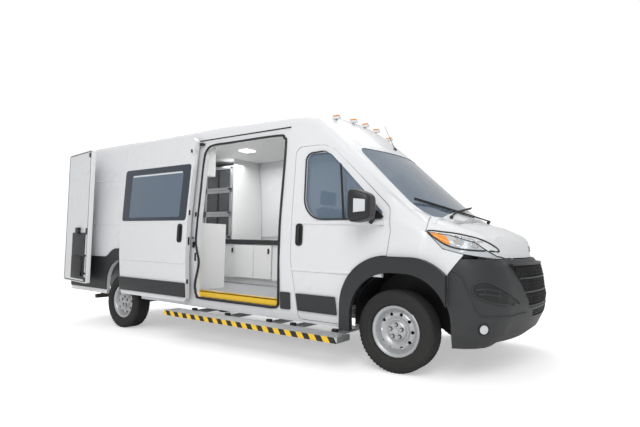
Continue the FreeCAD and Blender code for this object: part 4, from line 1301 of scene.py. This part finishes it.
@dataclass
class Nose:
    """Grille, intakes, fog lamps, plate pad and the headlights' insides."""

    def build(self) -> None:
        """Builds the nose trim."""
        self.grille()
        self.corners()
        self.lamps()

    @staticmethod
    def bow(y: float, z: float) -> float:
        """How far forward the nose reaches at a place across it."""
        crown = 1013 - 0.00045 * max(0.0, z - 700) ** 2 - 0.00042 * max(0.0, 700 - z) ** 2 * 2
        return crown - 95 * (y / 600) ** 2

    def bar(self, form: Form, z: float, half: float, tall: float, deep: float,
            out: float) -> None:
        """Adds a bowed bar across the nose."""
        count = 20
        for k in range(count):
            y0 = -half + 2 * half * k / count
            y1 = -half + 2 * half * (k + 1) / count
            x0, x1 = self.bow(y0, z) + out, self.bow(y1, z) + out
            form.prism([(x0, y0, z), (x1, y1, z), (x1 - deep, y1, z), (x0 - deep, y0, z)],
                       (0, 0, tall))

    def grille(self) -> None:
        """The main grille's frame bars, its honeycomb and the lower grille's bars."""
        bars = Form()
        self.bar(bars, 996, 575, 18, 30, -13)
        self.bar(bars, 642, 395, 16, 30, -13)
        self.bar(bars, 765, 465, 14, 24, -13)
        self.bar(bars, 882, 520, 14, 24, -13)
        put("grille_bars", bars.done("grille_bars", 2), "satin_dark", "body", "black_plastic")
        work = Form()
        rows = 13
        for row in range(rows):
            z = 665 + row * 27
            half = 400 + (z - 665) * 0.55
            count = int(2 * half / 46)
            for k in range(count):
                y = -half + 46 * (k + 0.5 + 0.5 * (row % 2))
                if abs(y) > half:
                    continue
                x = self.bow(y, z) - 22
                work.tube([(x, y + 24 * math.cos(a), z + 15 * math.sin(a)) for a in
                           (math.pi / 3 * i for i in range(6))], 3.6, 4, True)
        put("grille_honeycomb", work.done("grille_honeycomb"), "satin_dark", "body",
            "black_plastic")
        lower = Form()
        for z in (572, 592, 610):
            self.bar(lower, z, 296, 6, 20, -16)
        put("lower_grille_bars", lower.done("lower_grille_bars"), "satin_dark", "body",
            "black_plastic")

    def corners(self) -> None:
        """Side intakes with slats, fog lamps and the bare plate pad."""
        skin = Skin("front_bumper")
        outline = [(633, -900, 805), (640, -880, 838), (688, -800, 866), (760, -740, 838),
                   (830, -670, 790), (921, -600, 700), (870, -640, 684), (796, -700, 684),
                   (700, -800, 712), (640, -880, 760)]
        slats = ([(655, -880, 800), (720, -800, 806), (800, -715, 786)],
                 [(670, -860, 762), (730, -790, 764), (800, -715, 745)])
        for name, s in SIDES.items():
            dark = Form()
            skin.patch(dark, outline, 1.5, s)
            put(f"{name}_intake", dark.done(f"{name}_intake", 0), "black_plastic", "body")
            rim = Form().tube(skin.line(outline, 1.0, s), 9, 8, True)
            for points in slats:
                rim.tube(skin.line(points, 3.0, s, False), 10, 8)
            put(f"{name}_intake_rim", rim.done(f"{name}_intake_rim"), "dark_plastic", "body")
            fog = Form()
            ring = [(709 + 30 * math.cos(a), -850 + 34 * math.cos(a), 489 + 44 * math.sin(a))
                    for a in (math.pi / 6 * k for k in range(12))]
            fog.tube(skin.line(ring, 2.0, s), 7, 8, True)
            put(f"{name}_fog_bezel", fog.done(f"{name}_fog_bezel"), "black_plastic", "body")
            lens = Form()
            skin.patch(lens, [(709 + (x - 709) * 0.8, -850 + (y + 850) * 0.8,
                               489 + (z - 489) * 0.8) for x, y, z in ring], 5.0, s)
            put(f"{name}_fog_lamp", lens.done(f"{name}_fog_lamp"), "clear_lens", "body",
                "lamp_lens")
            crease = Form().tube(skin.line([(470, -985, 960), (560, -950, 905), (640, -905, 700),
                                            (690, -860, 600), (830, -700, 585),
                                            (940, -420, 600)], 0.0, s, False), 8, 8)
            put(f"{name}_bumper_crease", crease.done(f"{name}_bumper_crease"), "dark_plastic",
                "body")
        pad = Form()
        self.bar(pad, 500, 330, 128, 24, -18)
        put("plate_pad", pad.done("plate_pad", 5), "satin_dark", "body", "dark_plastic")

    def lamps(self) -> None:
        """Rims, amber ends, projectors and bright strips in each headlight."""
        skin = Skin("headlights", "hood", "front_fenders", "front_bumper")
        outline = [(272, -952, 1272), (390, -870, 1266), (500, -800, 1250), (620, -650, 1212),
                   (700, -530, 1160), (735, -480, 1110), (690, -600, 1112), (610, -750, 1116),
                   (520, -840, 1126), (448, -900, 1146), (370, -930, 1188)]
        amber = [(292, -948, 1258), (375, -890, 1250), (425, -885, 1205), (446, -897, 1164),
                 (400, -915, 1172), (350, -932, 1208)]
        for name, s in SIDES.items():
            rim = Form().tube(skin.line(outline, 0.5, s), 7, 8, True)
            put(f"{name}_lamp_rim", rim.done(f"{name}_lamp_rim"), "black_plastic", "body")
            cell = Form()
            skin.patch(cell, amber, 2.0, s)
            put(f"{name}_turn_lamp", cell.done(f"{name}_turn_lamp"), "amber_lens", "body",
                "lamp_lens")
            discs, rings = Form(), Form()
            for x, y, z, r in ((500, -835, 1188, 36), (600, -720, 1168, 30)):
                ring = [(x + r * 0.8 * math.cos(a), y + r * 0.9 * math.cos(a),
                         z + r * math.sin(a)) for a in (math.pi / 6 * k for k in range(12))]
                rings.tube(skin.line(ring, 2.0, s), 4.5, 8, True)
                skin.patch(discs, ring, 2.5, s)
            put(f"{name}_projectors", discs.done(f"{name}_projectors"), "mirror_glass", "body",
                "lamp_lens")
            rings.tube(skin.line([(420, -895, 1240), (520, -805, 1226), (640, -640, 1184)], 2.0,
                                 s, False), 4, 6)
            put(f"{name}_projector_rings", rings.done(f"{name}_projector_rings"),
                "bright_steel", "body", "lamp_lens")


# ------------------------------------------------------------------ windscreen and roof

@dataclass
class Top:
    """Wipers, aerial and clearance lamps."""

    def build(self) -> None:
        """Builds what is on the screen and roof."""
        self.wipers()
        self.aerial()
        self.markers()

    def wipers(self) -> None:
        """Two wipers at rest near the base of the screen."""
        form = Form()
        for points in (((470, 150, 1388), (330, -250, 1452), (75, -800, 1556)),
                       ((330, -560, 1400), (300, -300, 1462), (262, 260, 1536))):
            path = smooth_path(points, 8)
            form.tube([p + Vector((12, 0, 16)) for p in path], 7, 8)
            form.tube([p + Vector((4, 0, 5)) for p in path[5:]], 5, 6)
            form.rod(Vector(points[0]) + Vector((0, 0, -12)),
                     Vector(points[0]) + Vector((18, 0, 20)), 16, 16)
        put("wipers", form.done("wipers"), "rubber", "body", "black_plastic")

    def aerial(self) -> None:
        """The roof aerial, raked back on its black foot."""
        form = Form()
        form.rod((-497, 0, 2196), (-506, 0, 2222), 24, 20, 12)
        form.rod((-500, 0, 2210), (-631, 0, 2486), 4.0, 10, 2.2)
        put("aerial", form.done("aerial"), "rubber", "body", "black_plastic")

    def markers(self) -> None:
        """Five clearance lamps across the front of the roof."""
        base, lens = Form(), Form()
        for y in (-620, -270, 0, 270, 620):
            z = 2536 - 0.00012 * y * y
            base.box((-925, y - 26, z - 30), (-840, y + 26, z - 4))
            lens.box((-918, y - 21, z - 6), (-848, y + 21, z + 14))
        put("clearance_lamp_feet", base.done("clearance_lamp_feet", 4), "white_paint", "body")
        put("clearance_lamps", lens.done("clearance_lamps", 9), "amber_lens", "body", "lamp_lens")


# ------------------------------------------------------------------ step

@dataclass
class Step:
    """The side step's striped edge, raised grip buttons on its tread and its black brackets."""

    front: float = -400.0
    rear: float = -2760.0
    outer: float = 1288.0
    inner: float = 1075.0
    top: float = 343.0

    def build(self) -> None:
        """Builds the step's trim."""
        count = 34
        pitch = (self.front - self.rear) / count
        for k, finish in ((0, "yellow_paint"), (1, "rubber")):
            form = Form()
            for i in range(k, count, 2):
                x = self.rear + i * pitch
                lean = 34.0
                low, high = self.top - 52, self.top - 1
                corners = []
                for a, z in ((x, low), (x + pitch, low), (x + pitch - lean, high),
                             (x - lean, high)):
                    corners.append((min(max(a, self.rear), self.front), -self.outer - 1, z))
                form.prism(corners, (0, 4, 0))
            put(f"step_edge_{finish}", form.done(f"step_edge_{finish}"), finish, "body",
                "yellow_paint" if k == 0 else "black_plastic")
        self.tread()
        feet = Form()
        for x in (-2520, -1980, -1380, -1070, -580):
            feet.box((x - 26, -1062, 292), (x + 26, -1020, 364))
        put("step_feet", feet.done("step_feet", 3), "black_plastic", "body")

    def tread(self) -> None:
        """Raised grip buttons over the tread."""
        work = Form()
        columns = 78
        pitch = (self.front - self.rear - 40) / columns
        for i in range(columns):
            for j in range(6):
                x = self.rear + 30 + i * pitch + (pitch / 2 if j % 2 else 0)
                y = -self.inner - 22 - j * 33
                work.rod((x, y, self.top - 1), (x, y, self.top + 2.5), 9, 7, 6)
        put("step_grips", work.done("step_grips"), "aluminium", "body")


# ------------------------------------------------------------------ clinic fittings

@dataclass
class Clinic:
    """Latches, locker fronts, lining seams and the ceiling lamp."""

    face: float = 176.0

    def build(self) -> None:
        """Builds the fittings' trim."""
        self.latches()
        self.lockers()
        self.lamp()
        self.lining()

    def latches(self) -> None:
        """Black latches, and a black strip painted as the shadow in the gap between the cupboard
        doors.
        """
        for name, x in (("left", -3172), ("right", -2475)):
            form = Form().box((x - 13, self.face - 14, 975), (x + 13, self.face - 1, 1045))
            body = "body" if name == "left" else "right_cabinet_door"
            put(f"{name}_cupboard_latch", form.done(f"{name}_cupboard_latch", 4),
                "black_plastic", body)
        # Painted shadow: a black strip standing in for the shaded gap between the cupboard doors.
        strip = Form().box((-2760, self.face + 3, 640), (-2750, self.face + 22, 1030))
        put("cupboard_gap_shadow", strip.done("cupboard_gap_shadow", 1), "black_plastic", "body")

    def lockers(self) -> None:
        """Bright frames with smoked fronts over the locker rack's openings."""
        low, high = 1172.0, 2290.0
        rows, columns = 3, 2
        tall = (high - low - 20) / rows
        wide = 590.0
        frame_form, pane, posts = Form(), Form(), Form()
        for r in range(rows):
            for c in range(columns):
                x1 = -3345 - c * wide
                x0 = x1 - wide + 20
                z0 = low + 14 + r * tall
                z1 = z0 + tall - 12
                for a, b in (((x0, 280, z0), (x1, 299, z0 + 34)), ((x0, 280, z1 - 34), (x1, 299, z1)),
                             ((x0, 280, z0), (x0 + 34, 299, z1)), ((x1 - 34, 280, z0), (x1, 299, z1))):
                    frame_form.box(a, b)
                pane.box((x0 + 30, 288, z0 + 30), (x1 - 30, 293, z1 - 30))
                middle = (x0 + x1) / 2
                posts.box((middle - 7, 276, z0 + 36), (middle + 7, 288, z1 - 36))
                posts.box((x1 - 60, 270, z0 + 8), (x1 - 36, 281, z0 + 30))
        put("locker_frames", frame_form.done("locker_frames", 2), "aluminium", "body")
        put("locker_panes", pane.done("locker_panes"), "smoked_pane", "body", "tinted_glass")
        put("locker_posts", posts.done("locker_posts", 1), "black_plastic", "body")

    def lamp(self) -> None:
        """The flat ceiling lamp."""
        form = Form().box((-2760, -170, 2372), (-2600, -10, 2384))
        put("ceiling_lamp", form.done("ceiling_lamp", 3), "lit_panel", "body", "lamp_lens")

    def lining(self) -> None:
        """Fine seams between the wall lining's panels and a trim along the countertop."""
        form = Form()
        form.box((-3300, 938, 1214), (-1250, 944, 1222))
        put("lining_seams", form.done("lining_seams", 1), "aluminium", "body")
        ceiling = Form().box((-5280, -800, 2388), (-1250, 800, 2396))
        put("ceiling_lining", ceiling.done("ceiling_lining", 1), "white_interior", "body",
            "white_paint")


# ------------------------------------------------------------------ rear doors

@dataclass
class RearDoors:
    """Inner panel, pocket, latches and seal of the open leaf, and the shut leaf's outside."""

    open_angle: float = 262.0
    hinge_x: float = -5500.0
    hinge_y: float = -925.0

    def build(self) -> None:
        """Dresses both leaves."""
        swing = (Matrix.Translation((self.hinge_x, self.hinge_y, 0))
                 @ Matrix.Rotation(math.radians(self.open_angle), 4, "Z")
                 @ Matrix.Translation((-self.hinge_x, -self.hinge_y, 0)))
        for name, side in SIDES.items():
            place = BODY_PLACE @ Matrix.Scale(MM, 4)
            place = place @ swing if name == "right" else place
            self.leaf(name, side, place @ Matrix.Scale(1 / MM, 4))

    def leaf(self, name: str, s: int, place: Matrix) -> None:
        """Dresses one leaf, drawn shut and carried to where it stands.

        Args:
            name: The leaf's side.
            s: The sign of that side.
            place: The placement that carries it.
        """
        body = f"rear_{name}_door"
        inside = -5345.0
        trim = Form().box((inside, min(s * 90, s * 560), 560), (inside + 9, max(s * 90, s * 560),
                                                               1215))
        put(f"{name}_leaf_trim", trim.done(f"{name}_leaf_trim", 3, place), "dark_plastic", body)
        pocket = Form()
        y0, y1 = sorted((s * 150, s * 500))
        pocket.box((inside + 8, y0, 600), (inside + 32, y1, 880))
        pocket.box((inside + 8, y0 + 120, 1200), (inside + 40, y1 - 120, 1290))
        put(f"{name}_leaf_pocket", pocket.done(f"{name}_leaf_pocket", 6, place), "black_plastic",
            body)
        loop_path = smooth_path([(inside + 4, s * 40, 640), (inside + 44, s * 45, 680),
                                 (inside + 50, s * 48, 770), (inside + 40, s * 50, 860),
                                 (inside + 4, s * 52, 900)], 6)
        pull = Form().tube(loop_path, 13, 10)
        put(f"{name}_leaf_pull", pull.done(f"{name}_leaf_pull", 0, place), "rubber", body,
            "black_plastic")
        edge = Form()
        for low, high in ((2290, 2350), (1190, 1280), (540, 590)):
            ya, yb = sorted((s * 24, s * 80))
            edge.box((inside - 2, ya, low), (inside + 10, yb, high))
        put(f"{name}_leaf_latches", edge.done(f"{name}_leaf_latches", 2, place), "satin_dark",
            body, "black_plastic")
        face = inside - 5
        rim = [(face, s * 30, 530), (face, s * 30, 2372), (face, s * 830, 2372),
               (face, s * 830, 530)]
        seal = Form()
        for a, b in zip(rim, rim[1:] + rim[:1]):
            seal.rod(a, b, 8, 8)
        put(f"{name}_leaf_seal", seal.done(f"{name}_leaf_seal", 0, place), "rubber", body,
            "black_plastic")
        if name == "left":
            outside = Form()
            outside.box((-5406, 30, 1000), (-5399, 150, 1180))
            put("rear_handle", outside.done("rear_handle", 4, place), "satin_dark", body,
                "black_plastic")


@dataclass
class Studio:
    """Floor, backdrop, lamps and camera."""

    camera_x: float = 1.791
    camera_y: float = -4.689
    camera_z: float = 1.074
    yaw: float = 124.85
    pitch: float = 4.20
    lens: float = 26.137

    def build(self) -> None:
        """Builds the whole studio."""
        self.floor()
        self.lamps()
        self.camera()

    def floor(self) -> None:
        """A pale floor that keeps the object's shadow."""
        mesh = bpy.data.meshes.new("studio_floor")
        size = 60.0
        mesh.from_pydata([(-size, -size, 0), (size, -size, 0), (size, size, 0), (-size, size, 0)],
                         [], [(0, 1, 2, 3)])
        floor = bpy.data.objects.new("studio_floor", mesh)
        bpy.context.scene.collection.objects.link(floor)
        shader = Shader("studio_floor")
        cloud = shader.noise(0.6, 2.0)
        colour = shader.blend(cloud, rgba(0.86, 0.86, 0.86), rgba(0.9, 0.9, 0.9))
        seen = shader.add("ShaderNodeLightPath", out="Is Camera Ray")
        glow = shader.blend(seen, rgba(0, 0, 0), rgba(0.42, 0.42, 0.42))
        mesh.materials.append(shader.finish({
            "Base Color": colour, "Roughness": 0.95, "Specular IOR Level": 0.0,
            "Emission Color": glow, "Emission Strength": 1.0}))

    def lamps(self) -> None:
        """A pale world and two large soft lamps."""
        world = bpy.data.worlds.new("studio")
        bpy.context.scene.world = world
        world.use_nodes = True
        tree = world.node_tree
        tree.nodes.clear()
        rays = tree.nodes.new("ShaderNodeLightPath")
        seen = tree.nodes.new("ShaderNodeMath")
        seen.operation = "MAXIMUM"
        tree.links.new(rays.outputs["Is Camera Ray"], seen.inputs[0])
        tree.links.new(rays.outputs["Is Transmission Ray"], seen.inputs[1])
        strength = tree.nodes.new("ShaderNodeMix")
        tree.links.new(seen.outputs[0], strength.inputs[0])
        strength.inputs[2].default_value = 0.66
        strength.inputs[3].default_value = 1.1
        back = tree.nodes.new("ShaderNodeBackground")
        back.inputs["Color"].default_value = (1.0, 1.0, 1.0, 1.0)
        tree.links.new(strength.outputs[0], back.inputs["Strength"])
        out = tree.nodes.new("ShaderNodeOutputWorld")
        tree.links.new(back.outputs[0], out.inputs[0])
        for name, place, size, power in (
                ("key_lamp", (5.0, -7.5, 6.5), 5.0, 330.0),
                ("top_lamp", (-1.0, 2.0, 8.0), 7.0, 300.0),
                ("rear_lamp", (-7.5, 5.0, 4.5), 5.0, 240.0)):
            lamp = bpy.data.lights.new(name, "AREA")
            lamp.shape, lamp.size, lamp.energy = "SQUARE", size, power
            light = bpy.data.objects.new(name, lamp)
            bpy.context.scene.collection.objects.link(light)
            light.location = place
            light.rotation_euler = (Vector((0, 0, 1.1)) - Vector(place)).to_track_quat(
                "-Z", "Y").to_euler()
        inside = bpy.data.lights.new("clinic_lamp", "AREA")
        inside.shape, inside.size, inside.size_y, inside.energy = "RECTANGLE", 2.4, 1.0, 26.0
        light = bpy.data.objects.new("clinic_lamp", inside)
        bpy.context.scene.collection.objects.link(light)
        light.location = BODY_PLACE @ Vector((-2.4, 0.0, 2.33))

    @classmethod
    def place(cls) -> Vector:
        """The viewing place in the frame."""
        low, high = span("front_left_rim")
        return Vector((cls.camera_x + (low.x + high.x) / 2, cls.camera_y, cls.camera_z))

    def camera(self) -> None:
        """The camera at the viewing place."""
        data = bpy.data.cameras.new("camera")
        data.lens, data.sensor_width = self.lens, 36.0
        camera = bpy.data.objects.new("camera", data)
        bpy.context.scene.collection.objects.link(camera)
        camera.location = self.place()
        yaw, pitch = math.radians(self.yaw), math.radians(self.pitch)
        look = Vector((math.cos(yaw) * math.cos(pitch), math.sin(yaw) * math.cos(pitch),
                       math.sin(pitch)))
        camera.rotation_euler = look.to_track_quat("-Z", "Y").to_euler()
        bpy.context.scene.camera = camera
        bpy.context.scene.view_settings.view_transform = "Standard"


def main() -> None:
    """Builds the van piece by piece."""
    logging.basicConfig(level=logging.INFO)
    assemblies = (Shell(), Wheels(), Doorway(), Grip(), Seats(), Creases(), SlidingDoor(),
                  CabDoor("right", -1), CabDoor("left", 1), Nose(), Top(), Step(), Clinic(),
                  RearDoors(), Studio())
    for part in assemblies:
        part.build()
        log.info("built %s", type(part).__name__)


if __name__ == "__main__":
    main()
